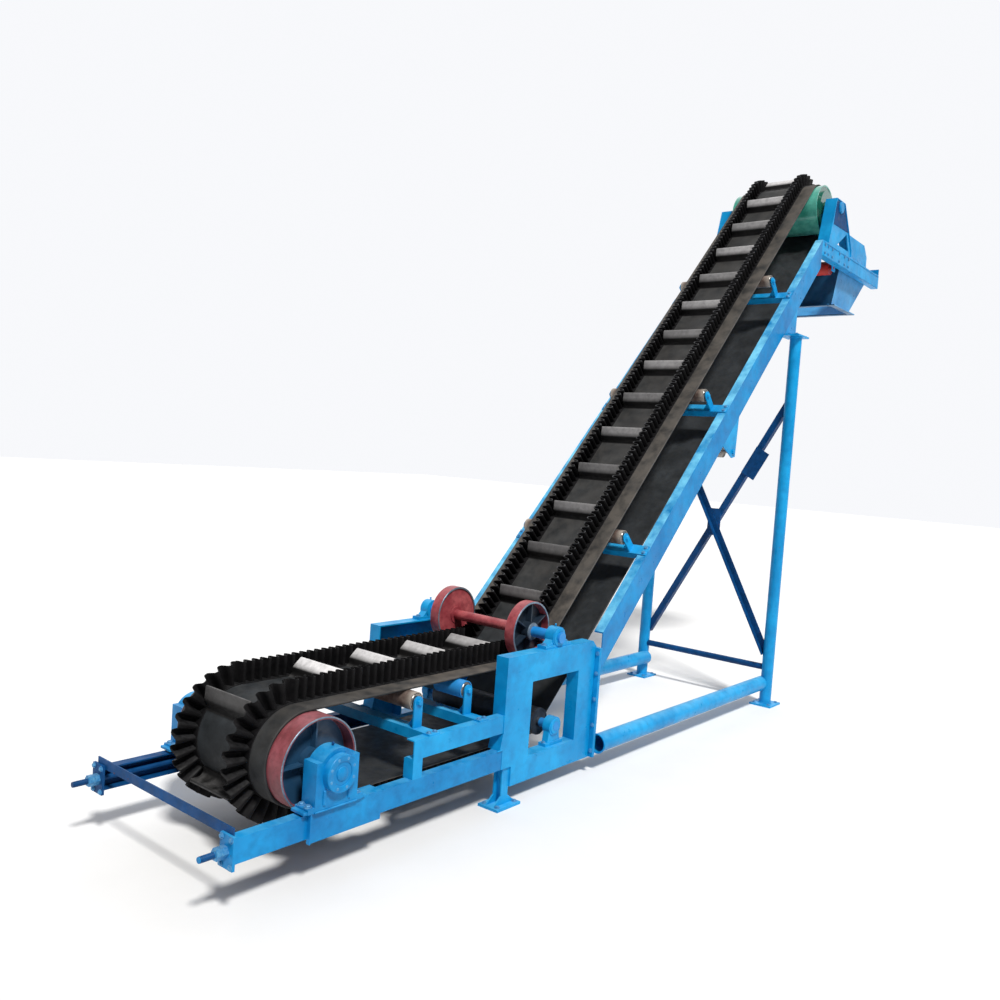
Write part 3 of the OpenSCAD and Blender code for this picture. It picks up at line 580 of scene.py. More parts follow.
@dataclass(frozen=True)
class Overpainted(Finish):
    """A finish whose outer ends along Y were painted over in another colour."""

    end_colour: str = "#2196E8"
    end_from_mm: float = 330.0
    fade_mm: float = 4.0

    def body(self, tree: Tree, where: Node) -> Socket:
        """Gives the colour before the ends are painted over."""
        return super().colour(tree, where)

    def outside(self, tree: Tree, where: Node, start_mm: float) -> Socket:
        """Gives 1 further than start_mm from the centre plane and 0 inside it."""
        y = self.part(tree, where.outputs["Object"], "Y")
        out = add(tree, "Math", {}, {0: y}, operation="ABSOLUTE").outputs[0]
        return self.ramp(tree, out, start_mm * MM, (start_mm + self.fade_mm) * MM)

    def colour(self, tree: Tree, where: Node) -> Socket:
        """Mixes the second colour in beyond end_from_mm from the centre plane."""
        tone = self.body(tree, where)
        return self.mix(tree, self.outside(tree, where, self.end_from_mm), tone,
                        self.end_colour)


@dataclass(frozen=True)
class Drum(Overpainted):
    """A drum's or wheel's finish: one colour on the shell, another inside it."""

    node: str = "tail_drum"
    disc_colour: str = "#1F4564"
    disc_from_mm: float = 0.0
    shell_mm: float = 187.0

    def body(self, tree: Tree, where: Node) -> Socket:
        """Mixes the disc's colour in closer to the axis than shell_mm.

        It starts disc_from_mm from the centre plane. The node keeps its CAD
        origin, so the distance is taken from the drum's own axis in its box.
        """
        tone = super().body(tree, where)
        low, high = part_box(self.node)
        axis = ((low.x + high.x) / 2, 0.0, (low.z + high.z) / 2)
        moved = add(tree, "VectorMath", {1: axis}, {0: where.outputs["Object"]},
                    operation="SUBTRACT").outputs[0]
        flat = add(tree, "VectorMath", {1: (1.0, 0.0, 1.0)}, {0: moved},
                   operation="MULTIPLY").outputs[0]
        far = add(tree, "VectorMath", {}, {0: flat}, operation="LENGTH").outputs["Value"]
        inside = self.ramp(tree, far, self.shell_mm * MM, (self.shell_mm - 2.0) * MM)
        share = self.times(tree, inside, self.outside(tree, where, self.disc_from_mm))
        return self.mix(tree, share, tone, self.disc_colour)


@dataclass(frozen=True)
class ShadedTowardsBelt(Finish):
    """A finish with navy painted shade on the faces towards the belt, -X."""

    belt_side_shade: str = "#06233F"
    belt_side_shade_share: float = 0.85

    def colour(self, tree: Tree, where: Node) -> Socket:
        """Mixes the painted shade in where the normal points to -X or down."""
        tone = super().colour(tree, where)
        facing = add(tree, "NewGeometry").outputs["Normal"]
        towards = add(tree, "VectorMath", {1: (-1.0, 0.0, -0.6)}, {0: facing},
                      operation="DOT_PRODUCT").outputs["Value"]
        share = self.times(tree, self.ramp(tree, towards, 0.3, 0.7), self.belt_side_shade_share)
        return self.mix(tree, share, tone, self.belt_side_shade)


class Finishes:
    """All the finishes of the conveyor, each made once."""

    def __init__(self) -> None:
        """Makes every material."""
        # Alkyd enamel on rolled steel: saturated sky blue, soft gloss, paler cyan
        # on top faces as a painted highlight, and rusty at chips.
        gloss = {"grain_mm": 3.0, "bump_mm": 0.25, "coat": 0.05, "specular": 0.22}
        self.blue = Finish(
            "sky_blue_alkyd_enamel", "#058CCB", "#18A4E2", "#0562A2", "#6CC6F0",
            roughness=0.4, blotch_mm=340.0, top_dust_highlight=0.6, spot_share=0.02,
            **gloss).material()
        # The same enamel round the tail, a shade deeper, with a painted highlight
        # of paler cyan on top faces.
        self.tail = Finish(
            "tail_blue_enamel", "#0579B9", "#1090D0", "#045590", "#5AB4E2",
            roughness=0.42, blotch_mm=240.0, grain_mm=3.0, bump_mm=0.3, top_dust_highlight=0.7,
            spot_share=0.03, coat=0.05, specular=0.22).material()
        # The same enamel on the sloping rails, deeper as painted shade on the webs,
        # with strong paler cyan on the upper flanges as painted highlight.
        self.rail = Finish(
            "rail_enamel_painted_light_and_shade", "#0578BA", "#1496D6", "#04528C", "#78D0F5",
            roughness=0.4, blotch_mm=420.0, top_dust_highlight=2.2, spot_share=0.02,
            **gloss).material()
        # The same enamel in navy, nearly matt: painted shade on parts in shade.
        self.navy_shade = Finish(
            "navy_painted_shade_enamel", "#033A6B", "#064C88", "#022344", "#1F5C8C",
            roughness=0.52, blotch_mm=200.0, grain_mm=3.0, bump_mm=0.3, top_dust_highlight=0.3,
            spot_share=0.04, specular=0.2).material()
        # The enamel of the hopper, navy with painted shade on the faces towards
        # the belt and down.
        self.hopper = ShadedTowardsBelt(
            "hopper_enamel", "#3A8FC8", "#5AA8DC", "#1A639C", "#6CC6F0", roughness=0.42,
            blotch_mm=260.0, grain_mm=3.0, bump_mm=0.25, top_dust_highlight=0.5, spot_share=0.02,
            specular=0.22).material()
        # Red oxide primer, brushed on castings, pinkish where polished; the
        # wheels' hollow outer sides are near black.
        self.red = Drum(
            "red_oxide_primer", "#963A43", "#C4666A", "#541A22", "#A8807E",
            roughness=0.42, blotch_mm=110.0, top_dust_highlight=0.25, spot_share=0.03,
            end_colour="#1B86D2", end_from_mm=318.0, node="press_wheels",
            disc_colour="#1D2A38", disc_from_mm=256.0, shell_mm=153.0).material()
        # The tail drum's shell wears the same primer, its end discs blue enamel.
        self.drum_red = Drum(
            "red_oxide_drum_primer", "#7C373E", "#9C555E", "#3C181C", "#7A6C68",
            roughness=0.48, blotch_mm=130.0, top_dust_highlight=0.15, spot_share=0.03,
            end_colour="#2A3A4A", end_from_mm=430.0).material()
        # Bright red primer on the roller under the head.
        self.bright_red = Finish(
            "bright_red_primer", "#A81F1B", "#BE322B", "#701110", "#84655C",
            roughness=0.48).material()
        # Glossy two-part green enamel of the drive drum, nearly unworn; its end
        # discs a darker green as painted shade.
        self.green = Drum(
            "green_gloss_enamel", "#3A9C88", "#6CC6B4", "#1F6E60", "#6F8F86",
            roughness=0.16, rough_spread=0.05, blotch_mm=200.0, top_dust_highlight=0.1, coat=1.0,
            node="head_drum", disc_colour="#1C6455", disc_from_mm=300.0, shell_mm=188.0,
            end_colour="#3E4A52", end_from_mm=500.0).material()
        # Bare steel tube with a thin even coat of rust and polished patches.
        self.rust = Overpainted(
            "rusted_steel_tube", "#5E4A42", "#8F8078", "#33231D", "#8A827A",
            roughness=0.5, metallic=0.3, blotch_mm=60.0, grain_mm=2.0, top_dust_highlight=0.3,
            spot_share=0.06, spot_mm=14.0, end_colour="#A99F95", end_from_mm=337.0,
            fade_mm=30.0).material()
        # The bend drum: dark steel, painted shaft ends.
        self.bend_dark = Overpainted(
            "bend_dark_drum_steel", "#2A2F36", "#474E57", "#15181C", "#6A625C",
            roughness=0.5, metallic=0.3, blotch_mm=60.0, spot_share=0.05, spot_mm=14.0,
            end_colour="#2A8ED6", end_from_mm=386.0).material()
        # The second level roller was painted over together with its frame.
        self.painted_roller = Overpainted(
            "painted_steel_tube", "#2A3640", "#3E5666", "#161F27", "#6E767B",
            roughness=0.5, metallic=0.1, blotch_mm=70.0, spot_share=0.05, spot_mm=18.0,
            end_colour="#2A8ED6", end_from_mm=190.0).material()
        # Zinc plated bolts, painted over with the frame and rusty in corners.
        self.zinc = Finish(
            "painted_zinc_fastener", "#2F84C0", "#63A6CF", "#174F80", "#8F969A",
            roughness=0.38, metallic=0.25, blotch_mm=12.0, spot_share=0.05,
            spot_mm=6.0).material()
        # Rolled drum and wheel rims, rubbed bright: pale blue-grey steel edge that
        # is also a painted highlight along the rims.
        self.lip = Finish(
            "rim_steel_and_highlight", "#6D8296", "#93A5B4", "#465564", "#7A706C",
            roughness=0.4, metallic=0.5, blotch_mm=40.0, spot_share=0.03,
            spot_mm=8.0).material()
        # Bare turned steel of shaft ends and screws: grey with a film of oil.
        self.steel = Finish(
            "turned_steel", "#8C8A86", "#B1AFAB", "#54504B", "#7A6A5C", roughness=0.32,
            metallic=0.85, blotch_mm=20.0, grain_mm=1.0, spot_share=0.05,
            spot_mm=9.0).material()
        # Vulcanised belt cover: near black, grey-brown dust on its free edges.
        self.band = Rubber(
            "belt_cover_rubber", "#232629", "#35393D", "#131415", "#6B645D",
            roughness=0.6, blotch_mm=180.0, grain_mm=2.0, bump_mm=0.3, top_dust_highlight=0.1,
            dust_highlight_share=0.8, specular=0.25).material()
        # Moulded sidewall rubber: black, with grey painted highlight along the crest.
        self.wall = Rubber(
            "moulded_sidewall_rubber", "#0B0B0D", "#151416", "#060607", "#77787C",
            roughness=0.62, blotch_mm=70.0, grain_mm=2.0, top_dust_highlight=0.12, dust_highlight_from=0.93,
            dust_highlight_to=1.0, dust_highlight_share=0.6, specular=0.15).material()
        # Moulded cleats: the same rubber, with pale dust where goods slide off that
        # is also a painted highlight on the back of the blade.
        self.cleat = Rubber(
            "moulded_cleat_rubber", "#151516", "#232222", "#0B0B0B", "#F0EEF0",
            roughness=0.62, blotch_mm=160.0, top_dust_highlight=0.1, dust_highlight_share=1.0, specular=0.25,
            patch_mm=35.0, patch_from=-0.4).material()


# Belt.
@dataclass
class BeltPath:
    """The belt's closed loop: three drums inside it and the press wheels outside.

    All stations lie on the band's inner face. Normals point away from the drums.
    """

    datum: Datum
    gap: float = 0.3
    band: float = 12.0
    drum_radius: float = 200.0
    bend_radius: float = 75.0
    press_radius: float = 165.0
    incline: float = math.radians(46.0)
    stations: np.ndarray = field(init=False)
    normals: np.ndarray = field(init=False)
    lengths: np.ndarray = field(init=False)

    def __post_init__(self) -> None:
        """Works out the runs and bends from the drums' places."""
        d = self.datum
        self.tail = np.array(d.centre("tail_drum"))
        self.head = np.array(d.centre("head_drum"))
        self.bend = np.array(d.centre("bend_drum"))
        self.press = np.array(d.centre("press_wheels"))
        self.drum_r = self.drum_radius + self.gap
        self.bend_r = self.bend_radius + self.gap
        self.press_r = self.press_radius + self.gap + self.band
        reach = self.head - self.bend
        self.back = math.atan2(reach[1], reach[0]) - math.asin(
            (self.drum_r - self.bend_r) / float(np.hypot(*reach)))

    def arc(self, centre: np.ndarray, radius: float, start: float, end: float,
            outward: int, step: float) -> tuple[np.ndarray, np.ndarray]:
        """Gives stations and normals on an arc, from one angle to another."""
        count = max(3, int(abs(end - start) * radius / min(step, 0.06 * radius)) + 1)
        angle = np.linspace(start, end, count)
        ray = np.stack([np.cos(angle), np.sin(angle)], -1)
        return centre + radius * ray, outward * ray

    def sample(self, step: float) -> None:
        """Fills stations, normals and lengths for the whole loop.

        The loop runs from the tail drum's top round its back, along the floor
        side, round the bend drum, up the return run, over the head drum, down
        the carrying run and along the level run to the tail.

        Args:
            step: the distance between stations in millimetres.
        """
        half = math.pi / 2
        parts = [
            self.arc(self.tail, self.drum_r, half, 3 * half, 1, step),
            self.arc(self.bend, self.bend_r, -half, self.back - half, 1, step),
            self.arc(self.head, self.drum_r, self.back - half, self.incline + half,
                     1, step),
            self.arc(self.press, self.press_r, self.incline - half, -half, -1, step)]
        points, normals = [], []
        for k, (p, n) in enumerate(parts):
            points.append(p)
            normals.append(n)
            q = parts[(k + 1) % len(parts)][0][0]
            count = int(np.hypot(*(q - p[-1])) / step)
            share = (np.arange(1, count) / count)[:, None]
            points.append(p[-1] + share * (q - p[-1]))
            normals.append(np.broadcast_to(n[-1], (count - 1, 2)))
        self.stations = np.concatenate(points)
        self.normals = np.concatenate(normals)
        ahead = np.roll(self.stations, -1, axis=0) - self.stations
        self.lengths = np.concatenate([[0.0], np.cumsum(np.hypot(*ahead.T))])
        self.total = float(self.lengths[-1])
        self.lengths = self.lengths[:-1]

    def spaced(self, lengths: np.ndarray) -> tuple[np.ndarray, np.ndarray]:
        """Gives the stations and unit normals at lengths along the loop."""
        s = np.append(self.lengths, self.total)
        closed = np.vstack([self.stations, self.stations[:1]])
        normal = np.vstack([self.normals, self.normals[:1]])
        at = lengths % self.total
        point = np.stack([np.interp(at, s, closed[:, k]) for k in (0, 1)], -1)
        n = np.stack([np.interp(at, s, normal[:, k]) for k in (0, 1)], -1)
        return point, n / np.linalg.norm(n, axis=-1, keepdims=True)


def rail_top(x: float) -> float:
    """Gives the height of the sloping rails' upper edge at x, in millimetres."""
    return RAIL_START[1] + (x - RAIL_START[0]) * math.tan(RAIL_ANGLE)


def upright(flat: np.ndarray) -> np.ndarray:
    """Turns X and Z pairs into X, Y, Z with Y zero."""
    return np.stack([flat[:, 0], np.zeros(len(flat)), flat[:, 1]], -1)


@dataclass
class Belt:
    """Rubber band, two wavy sidewalls and cross cleats on one closed loop."""

    datum: Datum
    finishes: Finishes
    width: float = 650.0
    band_t: float = 12.0
    wall_y: float = 190.0
    wall_height: float = 100.0
    wall_sheet: float = 6.0
    wave: float = 46.0
    wave_width: float = 50.0
    wave_steps: int = 10
    cleat_pitch: float = 360.0
    cleat_height: float = 85.0
    cleat_half: float = 162.0
    run_end: float = 68.0
    edge_dust: float = 0.75
    veil_dust: float = 0.22

    def __post_init__(self) -> None:
        """Samples the loop closely enough for the smallest bend."""
        self.path = BeltPath(self.datum, band=self.band_t)
        self.path.sample(12.0)

    def band(self) -> None:
        """Carries the band's section with rounded edges round the loop."""
        h, t, r = self.width / 2, self.band_t, 3.0
        foot, clear = self.wall_y + 22.0, self.wall_y + 40.0
        across = np.array([-h + r, -h, -h, -h + r, -clear, -foot, 0, foot, clear,
                           h - r, h, h, h - r, 0])
        up = np.array([0, r, t - r, t, t, t, t, t, t, t, t - r, r, 0, 0])
        section = np.stack([across, up], -1)
        path = self.path
        count = len(path.stations)
        side = np.tile([0.0, 1.0, 0.0], (count, 1))
        surface = carried(section, upright(path.stations), side,
                          upright(path.normals), True, path.lengths)
        # the UV's second value is the dust: on the outer face beside the walls,
        # least at the tail, with a faint veil between the walls of the steep run
        edge = (np.abs(across) >= clear) & (up >= t - r)
        middle = (np.abs(across) <= foot) & (up >= t)
        x, z = path.stations.T
        level = np.interp(x, (-200.0, 900.0), (0.15, 1.0))
        steep = np.interp(z, (700.0, 1100.0), (0.0, 1.0))
        share = level * (1 - steep) + self.edge_dust * steep
        dust = np.outer(share, edge) + np.outer(self.veil_dust * steep, middle)
        surface.uv[:, 1] = dust.ravel()
        piece = surface.build("belt_band_rubber", self.datum, self.finishes.band, "frame")
        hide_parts("belt_band")

    def wall_surface(self, y: float, start: float, end: float) -> Surface:
        """Makes one sidewall between two lengths along the loop.

        The sheet's middle line is wave_width / 2 * tanh(1.6 sin(phase)) / tanh(1.6)
        to the side, where phase grows by 2 pi each wave; its foot has a strip that
        is glued to the band, and its crest is rounded.
        """
        steps = max(8, int((end - start) / self.wave * self.wave_steps))
        s = np.linspace(start, end, steps)
        point, normal = self.path.spaced(s)
        phase = 2 * math.pi * s / self.wave
        amplitude = (self.wave_width - self.wall_sheet) / 2
        swing = amplitude * np.tanh(1.6 * np.sin(phase)) / math.tanh(1.6)
        t, h = self.wall_sheet / 2, self.wall_height
        outline = np.array([[-t - 2.5, 0.4], [-t, 8], [-t, 0.5 * h], [-t, h - 3],
                            [-t + 2, h], [t - 2, h], [t, h - 3], [t, 0.5 * h],
                            [t, 8], [t + 2.5, 0.4]])
        section = np.broadcast_to(outline, (steps, *outline.shape)).copy()
        section[..., 0] += swing[:, None]
        origin = upright(point) + self.band_t * upright(normal)
        origin[:, 1] = y
        side = np.tile([0.0, 1.0, 0.0], (steps, 1))
        surface = carried(section, origin, side, upright(normal), False, s)
        # a grey painted highlight stays on the crest of the steep run only
        crest_highlight = np.interp(point[:, 1], (700.0, 900.0), (0.9, 1.0))
        surface.uv[:, 1] = np.outer(crest_highlight, outline[:, 1] / h).ravel()
        foot = np.array([[-32.0, 0.2], [-30.0, 4.0], [30.0, 4.0], [32.0, 0.2]])
        every = slice(None, None, 4)
        strip = carried(foot, origin[every], side[every], upright(normal)[every],
                        False, s[every])
        strip.uv[:, 1] = 0.0
        return Surface.joined([surface, strip])

    def walls(self) -> None:
        """Builds the sidewalls of the carrying strand and of the return strand."""
        total, path = self.path.total, self.path
        # the carrying strand begins where the steep run leaves the head drum
        top = path.head + path.drum_r * np.array(
            [-math.sin(path.incline), math.cos(path.incline)])
        gap = np.hypot(*(path.stations - top).T)
        start = float(path.lengths[int(np.argmin(gap))])
        spans = {"upper": (start, total), "lower": (0.0, start)}
        for name, (low, high) in spans.items():
            surface = Surface.joined([
                self.wall_surface(sign * self.wall_y, low, high) for sign in (-1, 1)])
            piece = surface.build(f"belt_sidewalls_{name}", self.datum,
                                  self.finishes.wall, "frame", 50.0)
            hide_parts(f"belt_wall_{name}")

    def cleat_places(self) -> tuple[np.ndarray, np.ndarray, np.ndarray, np.ndarray]:
        """Gives each cleat's point on the cover, normal, way of travel and dust.

        They stand at the same lengths along the four runs and at the same angles
        on the two drums as the cleats of the CAD model. The pale mark, dust with a
        painted highlight, lies thick on the level run, thins out down the steep run
        and falls off on the way back.
        """
        p, t = self.path, self.band_t
        inc, back, r = p.incline, p.back, p.drum_r
        press_low = p.press + np.array([0.0, -p.press_r])
        head_top = p.head + r * np.array([-math.sin(inc), math.cos(inc)])
        press_side = p.press + p.press_r * np.array([math.sin(inc), -math.cos(inc)])
        bend_side = p.bend + p.bend_r * np.array([math.sin(back), -math.cos(back)])
        steep = float(np.hypot(*(head_top - press_side)))
        turn = p.head - p.bend
        ret = math.sqrt(float(turn @ turn) - (r - p.bend_r) ** 2)
        # start, way, length, first cleat, dust and painted highlight at the first
        # and the last cleat
        runs = [(press_low, math.pi, press_low[0], 180.0, 0.45, 1.0),
                (head_top, inc + math.pi, steep, 260.0, 0.62, 0.2),
                (p.tail + np.array([0.0, -r]), 0.0, p.bend[0], 200.0, 0.1, 0.1),
                (bend_side, back, ret, 200.0, 0.1, 0.1)]
        points, normals, dust = [], [], []
        for start, angle, length, first, most, least in runs:
            s = np.arange(first, length - self.run_end + 1e-6, self.cleat_pitch)[:, None]
            uneven = 1 - 0.35 * (np.arange(len(s)) % 2) * (most > least)
            dust.append(np.linspace(most, least, len(s)) * uneven)
            way = np.array([math.cos(angle), math.sin(angle)])
            out = np.array([math.sin(angle), -math.cos(angle)])
            points.append(start + s * way + t * out)
            normals.append(np.broadcast_to(out, (len(s), 2)))
        for centre, angles in ((p.tail, (135.0, 225.0)), (p.head, (95.0, 0.0))):
            a = np.radians(angles)
            out = np.stack([np.cos(a), np.sin(a)], -1)
            points.append(centre + (r + t) * out)
            normals.append(out)
        dust.append(np.array([0.08, 0.05, 0.8, 0.3]))
        point, normal = np.concatenate(points), np.concatenate(normals)
        travel = np.stack([normal[:, 1], -normal[:, 0]], -1)
        return point, normal, travel, np.concatenate(dust)

    def cleats(self) -> None:
        """Builds the cleats: a stem with hollow flanks and a blade bent forward.

        The blade's middle line runs straight up to the knee and then on a quarter
        of a circle's chord to the tip; its outline is a closed curve of points
        that is carried across the belt, drawn in a little at both ends.
        """
        back = np.array([[-34, 0], [-26, 2.5], [-18, 8], [-14, 16], [-13, 30],
                         [-11, 40], [-4, 49], [12, 63], [28, 77], [36, 84.4]])
        tip = np.array([[39, 85], [43, 82], [45.7, 77], [45, 73]])
        front = np.array([[30, 59], [19, 48], [13, 38], [12.5, 22], [15, 12],
                          [20, 6], [27, 2], [34, 0]])
        outline = np.concatenate([back, tip, front])
        shares = np.array([0.0, 0.01, 0.99, 1.0])
        inset = np.array([0.93, 1.0, 1.0, 0.93])
        middle = outline.mean(axis=0)
        section = middle + (outline - middle) * inset[:, None, None]
        section[..., 1] = np.clip(section[..., 1], 0.2, None)
        parts = []
        for p, n, d, dust in zip(*self.cleat_places()):
            origin = np.tile(upright(p[None])[0], (4, 1))
            origin[:, 1] = -self.cleat_half + shares * 2 * self.cleat_half
            part = carried(section, origin, np.tile(upright(d[None]), (4, 1)),
                           np.tile(upright(n[None]), (4, 1)), False)
            # the UV's second value is the dust and painted highlight on the back of
            # the blade
            height = np.clip((outline[:, 1] - 44.0) / 10.0, 0.0, 1.0)
            height[len(back) + 2:] = 0.0
            part.uv[:, 1] = np.tile(height * dust, 4)
            parts.append(part)
        piece = Surface.joined(parts).build("belt_cleats_moulded", self.datum,
                                            self.finishes.cleat, "frame", 40.0)
        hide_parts("belt_cleats")

    def build(self) -> None:
        """Builds the whole belt."""
        self.band()
        self.walls()
        self.cleats()


# Steelwork.
@dataclass
class Steelwork:
    """The CAD nodes that keep their shape and take a finish."""

    frame: dict
    finishes: Finishes

    def build(self) -> None:
        """Gives every CAD node the finish of its real material."""
        f = self.finishes
        rows = ((f.drum_red, "tail_drum"), (f.red, "press_wheels"),
                (f.hopper, "hopper"), (f.bright_red, "under_roller"),
                (f.green, "head_drum"), (f.rail, "side_rail_near side_rail_far"),
                (f.tail, "lower_beam_near take_up_near tail_saddle_near "
                         "tail_saddle_far tail_bearing_near tail_bearing_far"),
                # navy painted shade on the parts that lie in shade
                (f.navy_shade, "tail_cross_bar take_up_far lower_beam_far "
                         "cross_brace low_brace"),
                (f.bend_dark, "bend_drum"), (f.painted_roller, "level_idler_2"),
                (f.rust, "level_idler_1 steep_idler_1 steep_idler_2 "
                         "steep_idler_3 return_roller"))
        special = {name: finish for finish, names in rows for name in names.split()}
        for name, node in self.frame["nodes"].items():
            finish = special.get(name, f.blue)
            node.data.materials.clear()
            node.data.materials.append(finish)
            LOG.info("%s: %s", name, finish.name)


# Details.
@dataclass
class Assembly:
    """Base of the sub-assemblies that add small parts to the CAD nodes."""

    datum: Datum
    finishes: Finishes

    def piece(self, name: str, parts: list[Surface], finish: Material,
              body: str = "frame", sharp_deg: float = 35.0) -> None:
        """Joins surfaces to one piece and lets it ride on a body."""
        Surface.joined(parts).build(name, self.datum, finish, body, sharp_deg)

    def ring(self, node: str, y: float, profile: list, way: int,
             segments: int = 48) -> Surface:
        """Turns a profile round the Y axis of a node, starting at the plane y."""
        x, z = self.datum.centre(node)
        return placed(round_part(profile, segments), [(x, y, z)], (0, way, 0))

    def circle(self, node: str, y: float, radius: float, count: int) -> list:
        """Gives points on a circle round a node's Y axis."""
        x, z = self.datum.centre(node)
        angle = (np.arange(count) + 0.5) * 2 * math.pi / count
        return np.stack([x + radius * np.cos(angle), np.full(count, y),
                         z + radius * np.sin(angle)], -1).tolist()


@dataclass
class Tail(Assembly):
    """Take-up screws, saddles, block bearings and the lips of the tail drum."""

    foot_height: float = 22.0
    cap_y: float = 558.0
    rib_y: float = 534.5
    screw_y: float = 482.0
    screw_z: float = 255.0
    beam_end: float = -475.0
    plate_x: float = -487.0
    drum_ends: tuple = ((-415.0, -1), (341.0, 1))

    def build(self) -> None:
        """Adds bolts, bearing caps, nuts, threads and welds at the tail."""
        bolts, castings, beads, screws = [], [], [], []
        x, z = self.datum.centre("tail_drum")
        for side in Side:
            s = side.value
            low, _ = self.datum.heights(f"tail_bearing_{side.name.lower()}")
            foot = low + self.foot_height
            cap = s * self.cap_y
            screw = (s * self.screw_y, self.screw_z)
            bolts.append(placed(bolt(13.0), [
                (x + dx, s * y, foot) for dx in (-129, 129) for y in (468, 510)],
                (0, 0, 1)))
            bolts.append(placed(bolt(7.5), self.circle("tail_drum", cap, 64.0, 8),
                                (0, s, 0)))
            castings.append(self.ring("tail_drum", cap, [
                [50, 0], [79.5, 0], [79.5, 3], [77, 5.5], [54, 5.5], [50, 3]], s))
            castings.append(self.ring("tail_drum", cap, [
                [0, 0], [30, 0], [29, 4], [20, 9], [0, 10]], s, 32))
            # two ribs on the housing's foot
            rib = s * self.rib_y
            for dx in (-66, 66):
                castings.append(bar((x + dx, rib, foot), (x + dx, rib, z - 60), 14, 9,
                                    (1, 0, 0), 3))
            # shim plates of two steps under the foot flange's ends
            for dx in (-152, 152):
                castings.append(bar((x + dx, s * 448, foot - 15),
                                    (x + dx, s * 530, foot - 15), 26, 13, (1, 0, 0), 2))
            screws.append(placed(round_part([[0, 0], [4.5, 0], [4.5, 7], [6.5, 8],
                                             [6.5, 14], [2, 17], [0, 17]], 8),
                                 [(x, s * 490, z + 99)], (0, 0, 1)))
            # nuts over the round ones of the CAD model, and the screw's thread
            bolts.append(placed(nut(26, 22.5), [(self.plate_x, *screw)], (-1, 0, 0)))
            bolts.append(placed(nut(26, 25), [(self.plate_x - 23.5, *screw)], (-1, 0, 0)))
            turns = np.arange(0, 62, 2.0)
            thread = [[11.5, 0]] + [[13.2 if k % 2 else 12.1, h] for k, h in
                                    enumerate(turns)] + [[11.5, turns[-1]]]
            screws.append(placed(round_part(thread, 16), [(self.plate_x - 50, *screw)],
                                 (-1, 0, 0)))
            bolts.append(placed(bolt(9.5), [(self.plate_x, s * y, h) for y in (518, 456)
                                            for h in (203, 307)], (-1, 0, 0)))
            # rim on the saddle's end and welds of the end plate
            castings.append(bar((-124.5, s * 520, 186), (-124.5, s * 520, 312), 7, 22,
                                (1, 0, 0), 1.5))
            end = self.beam_end
            beads.append(bead([(end, s * 512, 206), (end, s * 512, 304)]))
            beads.append(bead([(end, s * 462, 307), (end, s * 508, 307)]))
            beads.append(bead([(-112, s * 534, 314), (112, s * 534, 314)], 3.5))
        self.piece("tail_fasteners", bolts, self.finishes.zinc)
        self.piece("tail_castings", castings, self.finishes.tail)
        # the screws take the navy painted-shade copy of the blue enamel
        self.piece("tail_screws", screws, self.finishes.navy_shade)
        self.piece("tail_welds", beads, self.finishes.tail)
        # pale rings at the drum's ends, partly a painted highlight along its rims
        lips = [self.ring("tail_drum", y, [
            [192.5, 0], [199.6, 0], [199.6, 1.5], [198, 3], [194, 3], [192.5, 1.5]],
            way, 96) for y, way in self.drum_ends]
        self.piece("tail_drum_lips", lips, self.finishes.lip, "tail_drum")


@dataclass
class Rollers(Assembly):
    """Cap nuts, end seals and stand bolts of the idlers and the return roller."""

    level_rail_z: float = 485.0
    stand_y: float = 392.0
    roller_end: float = 375.0
    hanger_y: float = 488.3

    def build(self) -> None:
        """Adds the small parts of every roller and of its stands."""
        bolts, caps = [], []
        for node in ("level_idler_1", "level_idler_2", "steep_idler_1",
                     "steep_idler_2", "steep_idler_3"):
            x, z = self.datum.centre(node)
            level = node.startswith("level")
            tilt = 0.0 if level else RAIL_ANGLE
            up = np.array([-math.sin(tilt), 0, math.cos(tilt)])
            along = np.array([math.cos(tilt), 0, math.sin(tilt)])
            rise = (z - (self.level_rail_z if level else rail_top(x))) * math.cos(tilt)
            foot = np.array([x, 0, z]) - up * (rise - 8.0)
            places = [foot + along * d + np.array([0, y, 0]) for d in (-20, 20)
                      for y in (-486, 486)]
            bolts.append(placed(bolt(10.0), places, tuple(up)))
            for s in (-1, 1):
                caps.append(self.ring(node, s * self.stand_y, [
                    [0, 0], [19, 0], [19, 2.5], [15, 3], [15, 9], [12, 13], [0, 14]],
                    s, 6))
            seals = [self.ring(node, s * (self.roller_end + SEAT), [
                [13.5, 0], [38, 0], [36, 2.5], [22, 4.5], [13.5, 4.5]], s, 32)
                for s in (-1, 1)]
            self.piece(f"{node}_seals", seals, self.finishes.steel, node)
        x, z = self.datum.centre("return_roller")
        for s in (-1, 1):
            caps.append(placed(nut(18, 12), [(x, s * self.hanger_y, z)], (0, s, 0)))
        self.piece("roller_stand_bolts", bolts, self.finishes.zinc)
        self.piece("roller_pin_caps", caps, self.finishes.blue)


